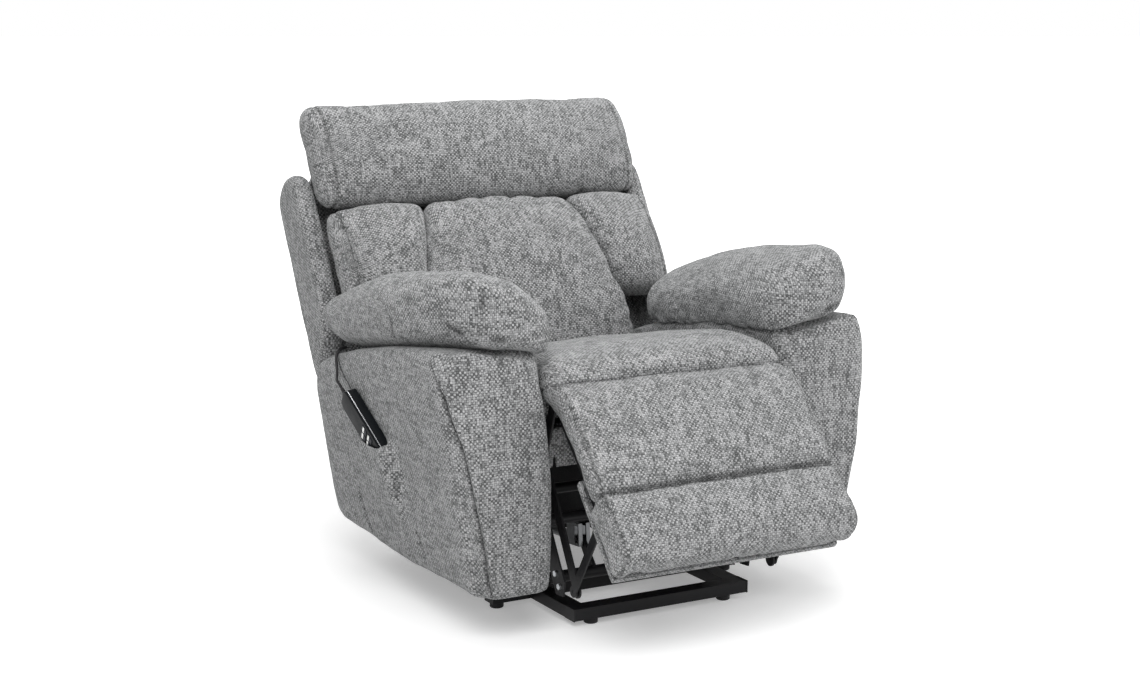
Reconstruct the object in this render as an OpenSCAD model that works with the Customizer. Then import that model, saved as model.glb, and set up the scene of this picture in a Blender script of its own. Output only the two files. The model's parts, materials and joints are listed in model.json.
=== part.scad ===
// Lift recliner chair: a steel lift base, four-bar lift links, a seat with
// padded arms, a swinging footrest, a reclining back, two linear actuators
// and a cabled handset in a side pocket. Millimetres, +Z up, the chair faces -Y.

/* [Lift base] */
// Height of the plastic feet
foot_h = 13; // [8:1:25]
// Height of the rectangular base tubes
tube_h = 25; // [20:1:30]
// Width of the rectangular base tubes
tube_w = 38; // [30:1:45]
// Outside width of the base frame
base_w = 427; // [425:1:440]
// Length of the base frame
base_len = 680; // [675:1:700]
// Overall length of the wide cross tube
outrigger_w = 610; // [590:2:640]
// Distance from the front face to the middle of the wide cross tube
outrigger_y = 205; // [200:1:212]

/* [Seat] */
// Half of the clear width between the arms
seat_half = 284; // [280:1:290]
// Height of the seat crown above the floor
seat_top = 556; // [552:1:562]
// Height of the footrest hinge line
hinge_z = 490; // [486:1:492]

/* [Footrest] */
// Half width of the footrest pads
pad_half = 270; // [250:1:270]
// Angle of the upper leg pad from the vertical at rest
pad_lean = 47; // [44:1:50]

/* [Arms] */
// Bottom of the arms above the floor
arm_z = 97; // [90:1:105]
// Half of the overall width over the arm pillows
arm_out = 513; // [510:1:520]

/* [Back] */
// Angle of the back from the vertical at rest
back_lean = 30; // [28:1:32]
// Half width of the back shell
back_half = 459; // [440:1:462]
// Half width of the headrest roll
head_half = 420; // [400:1:430]

/* [Handset] */
// Width of the handset
hs_w = 54; // [48:1:58]
// Thickness of the handset
hs_t = 26; // [22:1:28]

/* [Hidden] */
fabric = [0.55, 0.55, 0.55];
black = [0.05, 0.05, 0.05];
zinc = [0.75, 0.76, 0.78];
wood = [0.72, 0.56, 0.38];
webbing = [0.25, 0.25, 0.27];
bore_gap = 0.08;

// Lanes across the chair, from the middle outwards: [inside, outside]
chair_lug_x = [186, 190];
front_link_x = [194, 199];
base_lug_x = [203, 208];
rear_link_x = [211, 216];
side_plate_x = [225, 229];
long_link_x = [233, 237];
coupler_x = [241, 245];
rail_x = [250, 268];

// Pivots in the side view, [y, z], y counted from the front face of the base
rear_link_low = [240, 62];
rear_link_top = [529, 82];
front_link_low = [170, 56];
front_link_top = [380, 70];
lift_rear_pin = [655, 80];
lift_crank_pin = [221, 117];
drive_axis = [90, 350];
coupler_pin = [-52, 96];
leg_pin = [-142, 236];
recline_rear_pin = [480, 295];
recline_crank_pin = [93.6, 295.1];
back_axis = [620, 355];
back_origin = [542, 520];
lift_x = -70;
recline_x = 80;
pin_r = 5;
drive_r = 11;

// Points of the upper leg pad, [along the pad, out of its face]
upper_pad = [[0, 29], [16, 40], [36, 52], [70, 57], [115, 58], [185, 50], [230, 40], [250, 30],
    [257, 16], [256, -4], [236, -12], [180, -8], [100, -6], [40, -8], [4, -20], [-16, -21], [-28, -4], [-22, 18]];
// Points of the lower leg pad
lower_pad = [[261, 16], [265, 28], [277, 36], [305, 41], [350, 41], [388, 33], [406, 16], [412, -12], [409, -40],
    [399, -52], [340, -46], [280, -38], [265, -28], [260, -6]];
// Points of the seat cushion, [y, z]
seat_line = [[-14, 541], [2, 552], [50, seat_top], [160, seat_top - 5], [300, 527], [430, 502], [494, 488],
    [503, 462], [494, 434], [420, 424], [200, 422], [70, 424], [44, 438], [40, 470], [38, 502], [18, 531]];
// Points of the headrest roll, [up the back, behind its front plane]
head_line = [[366, 62], [385, 38], [430, 20], [500, 14], [565, 22], [610, 50], [628, 90], [618, 128],
    [585, 150], [500, 156], [410, 152], [374, 130], [362, 95]];
// Points of the middle back cushion
mid_line = [[-52, 8], [-20, -6], [60, -18], [170, -16], [270, 0], [330, 22], [358, 48], [356, 84],
    [330, 112], [200, 120], [60, 120], [-40, 112], [-60, 60]];
// Points of a wing pillow
wing_line = [[96, 30], [112, 8], [160, -8], [230, -8], [300, 8], [345, 32], [362, 62], [352, 96],
    [300, 116], [200, 122], [130, 118], [100, 92], [92, 60]];
// Outline of a back side panel
ear_line = [[24, 205], [62, 166], [112, 136], [190, 122], [300, 118], [400, 119], [452, 126], [480, 146],
    [491, 180], [486, 214], [465, 246], [425, 260], [250, 264], [80, 262], [10, 258], [6, 235]];
// Section of the rear panel
rear_line = [[-36, 262], [400, 262], [475, 242], [545, 208], [600, 182], [627, 162],
    [614, 144], [588, 166], [532, 188], [466, 220], [398, 238], [-36, 238]];
// Outline of an arm in the side view
arm_line = [[-4, arm_z], [120, arm_z], [291, arm_z - 6], [440, arm_z - 4], [560, arm_z + 4], [660, arm_z + 9],
    [688, arm_z + 20], [697, 165], [698, 264], [698, 355], [694, 405], [680, 440], [648, 474], [600, 494],
    [545, 512], [440, 536], [288, 566], [109, 588], [30, 592], [4, 560], [-4, 470], [-6, 330], [-6, 200]];
// Outer edge of the arm front, [height, half width]
arm_edge = [[90, 428], [125, 434], [200, 446], [330, 466], [472, 490], [540, 495], [600, 494]];
// Section of an arm pillow, [place across, place up], with a lip inside the arm
pillow_line = [[0, 0.30], [0.01, 0.43], [0.06, 0.54], [0.16, 0.68], [0.32, 0.83], [0.50, 0.93], [0.66, 0.99],
    [0.79, 1], [0.90, 0.92], [0.98, 0.70], [1, 0.44], [0.97, 0.18], [0.86, 0.03], [0.66, 0], [0.44, 0],
    [0.26, 0], [0.14, -0.02], [0.075, -0.12], [0.03, -0.10], [0.005, 0.08]];
// Sections along an arm pillow:
// [y, top, bottom, inside, outside, rise of the bottom outwards, share of the lip]
pillow_run = [[-37, 694, 616, 326, 416, 16, 0], [-31, 714, 592, 296, 436, 26, 0],
    [-12, 730, 582, 272, 450, 30, 0.2], [30, 741, 582, 262, 474, 24, 0.7], [90, 741, 582, 261, 497, 16, 1],
    [170, 733, 578, 262, 509, 8, 1], [260, 724, 570, 262, 513, 0, 1], [370, 704, 552, 263, 513, 0, 1],
    [460, 680, 538, 266, 513, 0, 1], [530, 656, 532, 276, 513, 0, 0.5], [572, 638, 546, 312, 512, 0, 0],
    [602, 620, 566, 372, 508, 0, 0], [616, 606, 580, 420, 500, 0, 0]];

function foot_pt(p) = [-p[0] * sin(pad_lean) - p[1] * cos(pad_lean),
                       hinge_z - p[0] * cos(pad_lean) + p[1] * sin(pad_lean)];
function back_pt(p) = [back_origin[0] + p[0] * sin(back_lean) + p[1] * cos(back_lean),
                       back_origin[1] + p[0] * cos(back_lean) - p[1] * sin(back_lean)];

// A smooth closed line through the points p, with n steps between two points
function smooth(p, n) = [for (i = [0 : len(p) - 1], j = [0 : n - 1])
    let (c = len(p), t = j / n, a = p[(i + c - 1) % c], b = p[i], d = p[(i + 1) % c], e = p[(i + 2) % c])
    0.5 * (2 * b + (d - a) * t + (2 * a - 5 * b + 4 * d - e) * t * t + (3 * b - a - 3 * d + e) * t * t * t)];
function mean(p) = [for (k = [0 : len(p[0]) - 1]) sum([for (q = p) q[k]]) / len(p)];
function sum(v, i = 0) = i < len(v) ? v[i] + sum(v, i + 1) : 0;

// The outline p drawn in by the distance d
function inset(p, d) = let (
    lo = [min([for (q = p) q[0]]), min([for (q = p) q[1]])],
    hi = [max([for (q = p) q[0]]), max([for (q = p) q[1]])],
    m = (lo + hi) / 2, h = (hi - lo) / 2)
    [for (q = p) [m[0] + (q[0] - m[0]) * (1 - d / h[0]), m[1] + (q[1] - m[1]) * (1 - d / h[1])]];

// Stations across a pad of half width h, [place, distance drawn in], with ends of radius r and a crown
function pad_stations(h, r, crown) = concat(
    [for (a = [90, 62, 32, 0]) [-h + r * (1 - sin(a)), crown + r * (1 - cos(a))]],
    [for (t = [-0.5, 0, 0.5]) [t * (h - r), crown * t * t]],
    [for (a = [0, 32, 62, 90]) [h - r * (1 - sin(a)), crown + r * (1 - cos(a))]]);

function turned(r, d) = let (m = mean(r), c = len(r))
    sum([for (i = [0 : c - 1]) cross(r[i] - m, r[(i + 1) % c] - m) * d]) > 0;

// The middle of the chair's length, from the front face of the base
y_front = min([for (p = smooth(lower_pad, 2)) foot_pt(p)[0]]);
y_back = max([for (p = rear_line) back_pt(p)[0]]);
mid_y = (y_front + y_back) / 2;

// ---- helpers ----

module at_base() translate([0, -mid_y, 0]) children();

module both_sides() {
    children();
    mirror([1, 0, 0]) children();
}

// A solid through closed rings of points, closed at both ends by a fan
module loft(rings) {
    n = len(rings[0]);
    m = len(rings);
    first = mean(rings[0]);
    last = mean(rings[m - 1]);
    walls = [for (i = [0 : m - 2], j = [0 : n - 1]) let (k = (j + 1) % n)
        each [[i * n + j, i * n + k, (i + 1) * n + k], [i * n + j, (i + 1) * n + k, (i + 1) * n + j]]];
    ends = [for (j = [0 : n - 1]) let (k = (j + 1) % n)
        each [[m * n, k, j], [m * n + 1, (m - 1) * n + j, (m - 1) * n + k]]];
    faces = concat(walls, ends);
    flip = turned(rings[floor(m / 2)], last - first);
    polyhedron(concat([for (r = rings) each r], [first, last]),
        flip ? [for (f = faces) [f[2], f[1], f[0]]] : faces);
}

// A padded piece from x0 to x1 with the outline p, which place puts in the chair
module padded(p, x0, x1, r, crown, place) {
    loft([for (st = pad_stations((x1 - x0) / 2, r, crown))
        [for (q = inset(p, st[1])) place((x0 + x1) / 2 + st[0], q)]]);
}

// A shaft across the chair at the pivot p, from x0 to x1
module across(p, r, x0, x1) {
    translate([x0, p[0], p[1]]) rotate([0, 90, 0]) cylinder(h = x1 - x0, r = r, $fn = 48);
}

// A flat bar in the side view from p to q, in the lane x, with round eyes w wide
module bar(p, q, w, x, bore_p, bore_q) {
    d = q - p;
    flat = w - 4;
    translate([x[0], 0, 0]) rotate([90, 0, 90]) linear_extrude(x[1] - x[0]) difference() {
        union() {
            translate(p) circle(r = w / 2, $fn = 48);
            translate(q) circle(r = w / 2, $fn = 48);
            translate(p) rotate(atan2(d[1], d[0])) translate([0, -flat / 2]) square([norm(d), flat]);
        }
        translate(p) circle(r = bore_p, $fn = 48);
        translate(q) circle(r = bore_q, $fn = 48);
    }
}

// A plate in the side view with the outline p, in the lane x
module plate(p, x) {
    translate([x[0], 0, 0]) rotate([90, 0, 90]) linear_extrude(x[1] - x[0]) polygon(p);
}

// A hexagon bolt along X at the pivot p, its head on the inside
module bolt(p, x0, x1, r) {
    across(p, r, x0, x1);
    translate([x0 - 4, p[0], p[1]]) rotate([0, 90, 0]) cylinder(h = 4, r = r * 1.7, $fn = 6);
}

module nut(p, x, r) {
    difference() {
        translate([x, p[0], p[1]]) rotate([0, 90, 0]) cylinder(h = 4, r = r * 1.7, $fn = 6);
        across(p, r + 0.1, x - 1, x + 5);
    }
}

module box_tube(size, hollow) {
    wall = 2;
    difference() {
        cube(size);
        translate([hollow[0] ? -1 : wall, hollow[1] ? -1 : wall, hollow[2] ? -1 : wall])
            cube([for (k = [0 : 2]) size[k] + (hollow[k] ? 2 : -2 * wall)]);
    }
}

// ---- lift base ----

cap = 3;
half_base = base_w / 2;

module base_end_tubes() color(black) at_base() for (y = [0, base_len - tube_w])
    translate([-half_base + cap, y, foot_h])
        box_tube([base_w - 2 * cap, tube_w, tube_h], [true, false, false]);

module base_side_tubes() color(black) at_base() both_sides()
    translate([half_base - tube_w, tube_w + 1, foot_h])
        box_tube([tube_w, base_len - 2 * tube_w - 2, tube_h], [false, true, false]);

module base_outrigger() color(black) at_base() {
    y = outrigger_y - tube_w / 2;
    translate([-half_base + tube_w, y, foot_h])
        box_tube([base_w - 2 * tube_w, tube_w, tube_h], [true, false, false]);
    both_sides() translate([half_base, y, foot_h])
        box_tube([outrigger_w / 2 - half_base - cap, tube_w, tube_h], [true, false, false]);
}

// An end cap for a tube that ends at x, with its plug inside the tube
module end_cap(x, y) {
    lip = 0.8;
    translate([x - cap, y - lip, foot_h - lip]) cube([cap, tube_w + 2 * lip, tube_h + 2 * lip]);
    translate([x - cap - 14, y + 2.5, foot_h + 2.5]) cube([14, tube_w - 5, tube_h - 5]);
}

module tube_end_caps() color(black) at_base() both_sides() {
    end_cap(half_base, 0);
    end_cap(half_base, base_len - tube_w);
    end_cap(outrigger_w / 2, outrigger_y - tube_w / 2);
}

// A round foot with a chamfered pad
module foot(x, y) {
    translate([x, y, 0]) {
        cylinder(h = 2, r1 = 13, r2 = 15, $fn = 48);
        translate([0, 0, 2]) cylinder(h = foot_h - 4, r = 15, $fn = 48);
        translate([0, 0, foot_h - 2]) cylinder(h = 2, r = 11, $fn = 48);
    }
}

module floor_feet() color(black) at_base() both_sides() {
    foot(163, tube_w / 2);
    foot(outrigger_w / 2 - 19, outrigger_y);
    foot(163, base_len - tube_w / 2);
}

tube_top = foot_h + tube_h;

module base_pivot_lugs() color(black) at_base() {
    both_sides() difference() {
        plate([[146, tube_top], [272, tube_top], [258, 70], [248, 78], [232, 78], [182, 71], [160, 71],
            [152, 60]], base_lug_x);
        across(rear_link_low, pin_r + bore_gap, base_lug_x[0] - 1, base_lug_x[1] + 1);
        across(front_link_low, pin_r + bore_gap, base_lug_x[0] - 1, base_lug_x[1] + 1);
    }
    for (x = [lift_x - 24, lift_x + 19]) difference() {
        plate([[base_len - tube_w, tube_top], [base_len, tube_top], [670, 90], [664, 95], [646, 95],
            [641, 88]], [x, x + 5]);
        across(lift_rear_pin, pin_r + bore_gap, x - 1, x + 6);
    }
}

module base_pivot_bolts() color(zinc) at_base() {
    both_sides() {
        bolt(rear_link_low, base_lug_x[0], rear_link_x[1] + 4.5, pin_r);
        nut(rear_link_low, rear_link_x[1] + 0.5, pin_r);
        bolt(front_link_low, front_link_x[0] - 0.5, base_lug_x[1] + 2, pin_r);
    }
    bolt(lift_rear_pin, lift_x - 24, lift_x + 28, pin_r);
}

// ---- lift links ----

module rear_lift_links() color(black) at_base() both_sides()
    bar(rear_link_low, rear_link_top, 30, rear_link_x, pin_r + bore_gap, pin_r + bore_gap);

// The upper eyes are open by 4 mm, because the four-bar loop is opened here
module front_lift_links() color(black) at_base() both_sides()
    bar(front_link_low, front_link_top, 28, front_link_x, pin_r + bore_gap, pin_r + 4);

// The torque tube turns with the front links and surrounds the heads of their bolts
module front_link_shaft() color(black) at_base() {
    difference() {
        across(front_link_low, 13, -front_link_x[0], front_link_x[0]);
        across(front_link_low, 9.6, -front_link_x[0] - 1, front_link_x[0] + 1);
    }
    difference() {
        plate([front_link_low + [-10, 8], front_link_low + [10, -6], lift_crank_pin + [8, -4],
            lift_crank_pin + [4, 7], lift_crank_pin + [-6, 6]], [lift_x - 4, lift_x + 4]);
        across(front_link_low, 12.8, lift_x - 5, lift_x + 5);
    }
    across(lift_crank_pin, pin_r, lift_x - 16, lift_x + 16);
}

// ---- chair mechanism ----

plate_line = [[18, 64], [48, 62], [72, 104], [112, 140], [380, 128], [470, 62], [556, 62], [566, 110],
    [540, 210], [470, 318], [140, 366], [104, 374], [80, 368], [74, 342], [86, 220], [34, 130], [12, 96]];
front_tube_at = [118, 200];
mid_tube_at = [380, 190];
rear_tube_at = [500, 265];

module mechanism_side_plates() color(black) at_base() both_sides() difference() {
    plate(plate_line, side_plate_x);
    across(drive_axis, drive_r + bore_gap, side_plate_x[0] - 1, side_plate_x[1] + 1);
    across(rear_link_top, pin_r + 0.1, side_plate_x[0] - 1, side_plate_x[1] + 1);
    across([32, 82], 4.2, side_plate_x[0] - 1, side_plate_x[1] + 1);
    across([48, 106], 4.2, side_plate_x[0] - 1, side_plate_x[1] + 1);
    // Lightening slot
    plate([[200, 190], [318, 182], [318, 250], [200, 260]], [side_plate_x[0] - 1, side_plate_x[1] + 1]);
}

module mechanism_cross_tubes() color(black) at_base() {
    for (p = [front_tube_at, mid_tube_at, rear_tube_at]) difference() {
        across(p, 12, -side_plate_x[0], side_plate_x[0]);
        across(p, 9.5, -side_plate_x[0] - 1, side_plate_x[0] + 1);
    }
}

module chair_pivot_lugs() color(black) at_base() {
    both_sides() difference() {
        plate([[368, 190], [392, 190], [396, 70], [388, 58], [372, 58], [364, 70]], chair_lug_x);
        across(mid_tube_at, 12.1, chair_lug_x[0] - 1, chair_lug_x[1] + 1);
        across(front_link_top, pin_r + 0.1, chair_lug_x[0] - 1, chair_lug_x[1] + 1);
    }
    both_sides() plate([[556, 310], [604, 306], [636, 342], [634, 368], [608, 372], [556, 390]],
        [rail_x[1], rail_x[1] + 4]);
    for (x = [recline_x - 24, recline_x + 19]) difference() {
        plate([[466, 283], [476, 311], [488, 311], [512, 290], [518, 262], [500, 250]], [x, x + 5]);
        across(rear_tube_at, 12.1, x - 1, x + 6);
        across(recline_rear_pin, pin_r + bore_gap, x - 1, x + 6);
    }
}

module chair_pivot_bolts() color(zinc) at_base() {
    both_sides() {
        mirror([1, 0, 0]) bolt(rear_link_top, -side_plate_x[1], -rear_link_x[0] + 2, pin_r);
        bolt(front_link_top, chair_lug_x[0], front_link_x[1] + 1, pin_r);
        for (p = [[32, 82], [48, 106]]) mirror([1, 0, 0]) bolt(p, -side_plate_x[1], -side_plate_x[0] + 6, 4);
    }
    bolt(recline_rear_pin, recline_x - 24, recline_x + 28, pin_r);
    both_sides() across(back_axis, 6, rail_x[1] + 4, back_bracket_x[1] + 2);
    both_sides() across([0, hinge_z], pin_r, hinge_arm_x[0] - 1, hinge_lug_x[1] + 2);
}

// ---- seat ----

module seat_side_rails() color(wood) at_base() both_sides()
    translate([rail_x[0], 72, 300]) cube([rail_x[1] - rail_x[0], 520, 100]);

module seat_cross_rails() color(wood) at_base() {
    translate([-rail_x[1], 50, 360]) cube([2 * rail_x[1], 20, 56]);
    translate([-rail_x[0] + 2, 560, 300]) cube([2 * rail_x[0] - 4, 20, 100]);
}

module seat_webbing() color(webbing) at_base() {
    for (x = [-200 : 80 : 200]) translate([x - 25, 50, 417]) cube([50, 530, 2.5]);
    for (y = [130 : 90 : 490]) translate([-rail_x[1], y - 25, 413.5]) cube([2 * rail_x[1], 50, 2.5]);
    both_sides() for (y = [105 : 90 : 465]) translate([rail_x[0], y, 400.5]) cube([18, 50, 12.5]);
}

module seat_cushion() color(fabric) at_base()
    padded(smooth(seat_line, 2), -seat_half + 6, seat_half - 6, 26, 5, function (x, q) [x, q[0], q[1]]);

// Covered board under the seat's front edge, with slots for the long links and the hinge lugs
module front_valance() color(fabric) at_base() difference() {
    plate([[39, 414], [47, 414], [47, 338], [45, 332], [41, 332], [39, 338]], [-281, 281]);
    both_sides() translate([long_link_x[0] - 2, 30, 320]) cube([8, 30, 34]);
    both_sides() translate([hinge_lug_x[0] - 1, 30, 320]) cube([6, 30, 100]);
}

// ---- arms ----

// The arm outline, drawn in by d, on the plane that leans out with the arm's outer edge
function arm_section(d, lift) = [for (q = inset(arm_line, d)) [q[0], q[1] - (q[1] > 430 ? lift : 0)]];
function on_flare(d, offset) = [for (q = arm_section(d, 0)) [lookup(q[1], arm_edge) + offset, q[0], q[1]]];

board = 18;
inner_board_x = 306;
outer_board_x = 362;

// A plywood frame inside the arm: two boards and four blocks between them
module arm_frames() color(wood) at_base() both_sides() {
    for (x = [inner_board_x, outer_board_x]) plate(arm_section(18, 20), [x, x + board]);
    for (p = [[30, 200], [30, 440], [590, 200], [590, 400]])
        translate([inner_board_x + board, p[0], p[1]])
            cube([outer_board_x - inner_board_x - board, 50, 50]);
}

// Slatted tops of the arms, under the pillows
deck_w = 138;
module arm_decks() color(wood) at_base() both_sides()
    for (k = [[60, 0], [190, 6], [320, 25], [450, 53]])
        translate([inner_board_x, k[0], 557 - k[1]]) cube([deck_w, 90, 8]);

module arm_inner_panels() color(fabric) at_base() both_sides() loft([
    for (k = [[0, 6], [3, 2], [8, 0], [16, 0]])
        [for (q = arm_section(k[1] + 2, 18)) [seat_half + k[0], q[0], q[1]]]]);

module arm_side_panel() loft([on_flare(3, -42), on_flare(0, -38), on_flare(0, 2), on_flare(3, 8),
    on_flare(12, 13), on_flare(40, 16), on_flare(110, 17), on_flare(238, 17)]);

// Sections of the handset pocket, [outer half width, height, front end, back end]
pocket_run = [[519, 357, 276, 392], [520, 348, 268, 392], [513, 292, 256, 386], [492, 232, 262, 376],
    [464, 180, 290, 350]];
pocket_inside_x = 462;

// The left side panel has a pocket with a level mouth for the handset
module arm_side_panel_left() color(fabric) at_base() difference() {
    union() {
        mirror([1, 0, 0]) arm_side_panel();
        hull() for (k = pocket_run)
            translate([-k[0], k[2], k[1]]) cube([k[0] - pocket_inside_x, k[3] - k[2], 1]);
    }
    handset_place() translate([-hs_t / 2 - 2, -hs_w / 2 - 2, hs_low - 3]) cube([hs_t + 4, hs_w + 4, 290]);
}

module arm_side_panel_right() color(fabric) at_base() arm_side_panel();

// The arm front in the front view, [half width, height]
front_line = [[296, arm_z], [286, arm_z + 8], [284, 200], [284, 330], [284, 440], [286, 490], [296, 530],
    [312, 562], [332, 575], [400, 588], [456, 600], [476, 598], [490, 582], [497, 545], [490, 472],
    [465, 330], [444, 200], [430, 125], [422, arm_z + 2], [410, arm_z]];
front_turn = [[arm_z, 4], [330, 0], [470, 22], [540, 34], [600, 44]];
function front_ring(y, d, back) =
    [for (q = inset(front_line, d)) [q[0], y + back * lookup(q[1], front_turn), q[1]]];

module arm_front_panels() color(fabric) at_base() both_sides() loft([
    front_ring(-54, 104, 1), front_ring(-53, 60, 1), front_ring(-51, 26, 1), front_ring(-46, 10, 1),
    front_ring(-38, 2, 1), front_ring(-28, 0, 0.8), front_ring(-9, 0, 0)]);

// One section of an arm pillow
function pillow_ring(k) = [for (q = pillow_line)
    let (up = q[1] < 0 ? q[1] * k[6] : q[1])
    [k[3] + q[0] * (k[4] - k[3]), k[0], k[2] + up * (k[1] - k[2]) + k[5] * q[0] * (1 - q[1])]];

module arm_pillow() color(fabric) at_base() loft([for (k = pillow_run) pillow_ring(k)]);
module arm_pillow_left() mirror([1, 0, 0]) arm_pillow();
module arm_pillow_right() arm_pillow();

module arm_bolts() color(zinc) at_base() both_sides() for (y = [140, 320, 540])
    across([y, 340], 6, rail_x[1] + 0.2, seat_half - 0.5);

// The control box, with the mains inlet in its rear end
module control_box() color(black) at_base() translate([-190, 380, 306]) difference() {
    union() {
        cube([90, 150, 48]);
        translate([10, 10, 48]) cube([70, 130, 50]);
        translate([30, 149, 12]) cube([30, 19, 24]);
    }
    translate([34, 156, 16]) cube([22, 20, 16]);
}

// Thin covered board that closes the chair's rear below the back
module lower_rear_panel() color(fabric) at_base()
    plate([[694.5, 36], [699.5, 36], [699.5, 314], [694.5, 314]], [-283.4, 283.4]);

// ---- back ----

module back_place() translate([0, back_origin[0], back_origin[1]]) rotate([-back_lean, 0, 0]) children();

// A point of the back at the place x across it
function on_back(x, q) = let (p = back_pt(q)) [x, p[0], p[1]];

module back_frame() color(wood) at_base() back_place() {
    both_sides() translate([232, 186, -90]) cube([44, 24, 540]);
    for (u = [-60, 160, 370]) translate([-231.5, 188, u]) cube([463, 20, 70]);
}

back_bracket_x = [276.2, 280.2];
module back_hinge_brackets() color(black) at_base() both_sides() difference() {
    union() {
        plate([[612, 345], [640, 342], [664, 362], [706, 430], [690, 440], [640, 380]], back_bracket_x);
        across(back_axis, 14, back_bracket_x[0], back_bracket_x[1]);
    }
    across(back_axis, 6 + bore_gap, back_bracket_x[0] - 1, back_bracket_x[1] + 1);
}

// The rear panel turns forwards at its top, behind the headrest
module back_rear_panel() color(fabric) at_base() intersection() {
    plate([for (q = rear_line) back_pt(q)], [-424, 424]);
    back_place() translate([0, 100, 0]) rotate([-90, 0, 0]) mirror([0, 1, 0]) linear_extrude(180)
        polygon([[-424, -40], [424, -40], [424, 425], [404, 462], [376, 500], [356, 560], [350, 640],
            [-350, 640], [-356, 560], [-376, 500], [-404, 462], [-424, 425]]);
}

module back_side_panels() color(fabric) at_base() both_sides()
    padded(smooth(ear_line, 2), back_half - 34, back_half, 12, 0, function (x, q) on_back(x, q));

// Half width of the middle cushion: narrow at the top, wide at the seat
function mid_half(u) = lookup(u, [[-52, 258], [60, 256], [189, 230], [258, 212], [345, 188]]);

mid_span = 230;
module back_cushion() color(fabric) at_base()
    padded(smooth(mid_line, 2), -mid_span, mid_span, 30, 8,
        function (x, q) on_back(x / mid_span * (mid_half(q[0]) - 2), q));

// How far a back pad turns backwards at the place t of its width, most at its front face
function turn_back(q, t, far, deep) = [q[0], q[1] + far * t * t * (1 - max(q[1], 0) / deep)];

wing_out = 420;
wing_span = 200;
module back_wing() color(fabric) at_base()
    padded(smooth(wing_line, 2), 0, wing_span, 26, 6, function (x, q) let (t = x / wing_span)
        on_back(mid_half(q[0]) + 2 + t * (wing_out - mid_half(q[0]) - 2), turn_back(q, t, 44, 124)));

module back_wing_left() mirror([1, 0, 0]) back_wing();
module back_wing_right() back_wing();

module headrest_roll() color(fabric) at_base()
    padded(smooth(head_line, 2), -head_half, head_half, 34, 6,
        function (x, q) on_back(x, turn_back(q, x / head_half, 40, 156)));

// ---- footrest ----

// A point of the footrest at the place x across it
function on_foot(x, q) = let (p = foot_pt(q)) [x, p[0], p[1]];

module footrest_board() color(wood) at_base()
    plate([for (q = [[183, -49], [183, -33], [397, -60], [397, -76]]) foot_pt(q)],
        [-pad_half + 4, pad_half - 4]);

module lower_leg_pad() color(fabric) at_base()
    padded(smooth(lower_pad, 2), -pad_half - 11, pad_half + 11, 27, 2, function (x, q) on_foot(x, q));

hinge_arm_x = [250, 254];
hinge_lug_x = [256, 260];

// The upper pad, with slots for the hinge lugs and arms
module upper_leg_pad() color(fabric) at_base() difference() {
    padded(smooth(upper_pad, 2), -pad_half - 10, pad_half + 10, 20, 2, function (x, q) on_foot(x, q));
    both_sides() plate([for (q = [[-50, 17], [66, 17], [66, -50], [-50, -50]]) foot_pt(q)],
        [hinge_arm_x[0] - 2, hinge_lug_x[1] + 3]);
}

module footrest_hinge_arms() color(black) at_base() both_sides() difference() {
    union() {
        plate([for (q = [[0, 13], [30, 8], [62, -12], [180, -14], [236, -20], [250, -30], [250, -41.2],
            [183, -32.8], [62, -28], [20, -20], [0, -13]]) foot_pt(q)], hinge_arm_x);
        across([0, hinge_z], 13, hinge_arm_x[0], hinge_arm_x[1]);
    }
    across([0, hinge_z], pin_r + bore_gap, hinge_arm_x[0] - 1, hinge_arm_x[1] + 1);
}

// Lugs on the front rail that carry the footrest's hinge pins
module footrest_hinge_lugs() color(black) at_base() both_sides() difference() {
    union() {
        plate([[49.9, 360], [49.9, 412], [24, 448], [11, 496], [-11, 496], [-12, 480], [34, 352]],
            hinge_lug_x);
        across([0, hinge_z], 12, hinge_lug_x[0], hinge_lug_x[1]);
    }
    across([0, hinge_z], pin_r + 0.1, hinge_lug_x[0] - 1, hinge_lug_x[1] + 1);
}

// Each bracket carries the pin that its coupler turns on
module footrest_brackets() color(black) at_base() both_sides() {
    plate([foot_pt([240, -58]), foot_pt([310, -66.5]), foot_pt([296, -88]), leg_pin + [-4, -16],
        leg_pin + [10, -12], foot_pt([262, -96])], long_link_x);
    plate([for (q = [[236, -56.8], [236, -60.8], [314, -70.4], [314, -66.4]]) foot_pt(q)],
        [long_link_x[0] - 18, long_link_x[0] + 2]);
    across(leg_pin, 4, long_link_x[0] + 1, coupler_x[1] + 3);
}

module footrest_long_links() color(black) at_base() both_sides()
    bar(drive_axis, coupler_pin, 30, long_link_x, drive_r + 0.1, 4 + bore_gap);

module footrest_drive_shaft() color(black) at_base() {
    across(drive_axis, drive_r, -long_link_x[1] - 2, long_link_x[1] + 2);
    difference() {
        plate([drive_axis + [-10, -5], drive_axis + [10, -5], recline_crank_pin + [10, -6],
            recline_crank_pin + [-10, -6]], [recline_x - 4, recline_x + 4]);
        across(drive_axis, drive_r - 0.1, recline_x - 5, recline_x + 5);
    }
    across(recline_crank_pin, pin_r, recline_x - 16, recline_x + 16);
}

// The upper eyes are open by 1 mm, because the linkage's loop is opened here
module footrest_couplers() color(black) at_base() both_sides() {
    bar(coupler_pin, leg_pin, 24, coupler_x, 3.9, 5);
    across(coupler_pin, 4, long_link_x[0] - 2, coupler_x[1] - 1);
}

// ---- actuators ----

// A motor with its outer tube, drawn along the line from its rear pin to its crank pin
module along(rear, pin, x) translate([x, rear[0], rear[1]])
    rotate([atan2(pin[1] - rear[1], pin[0] - rear[0]), 0, 0]) children();

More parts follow.
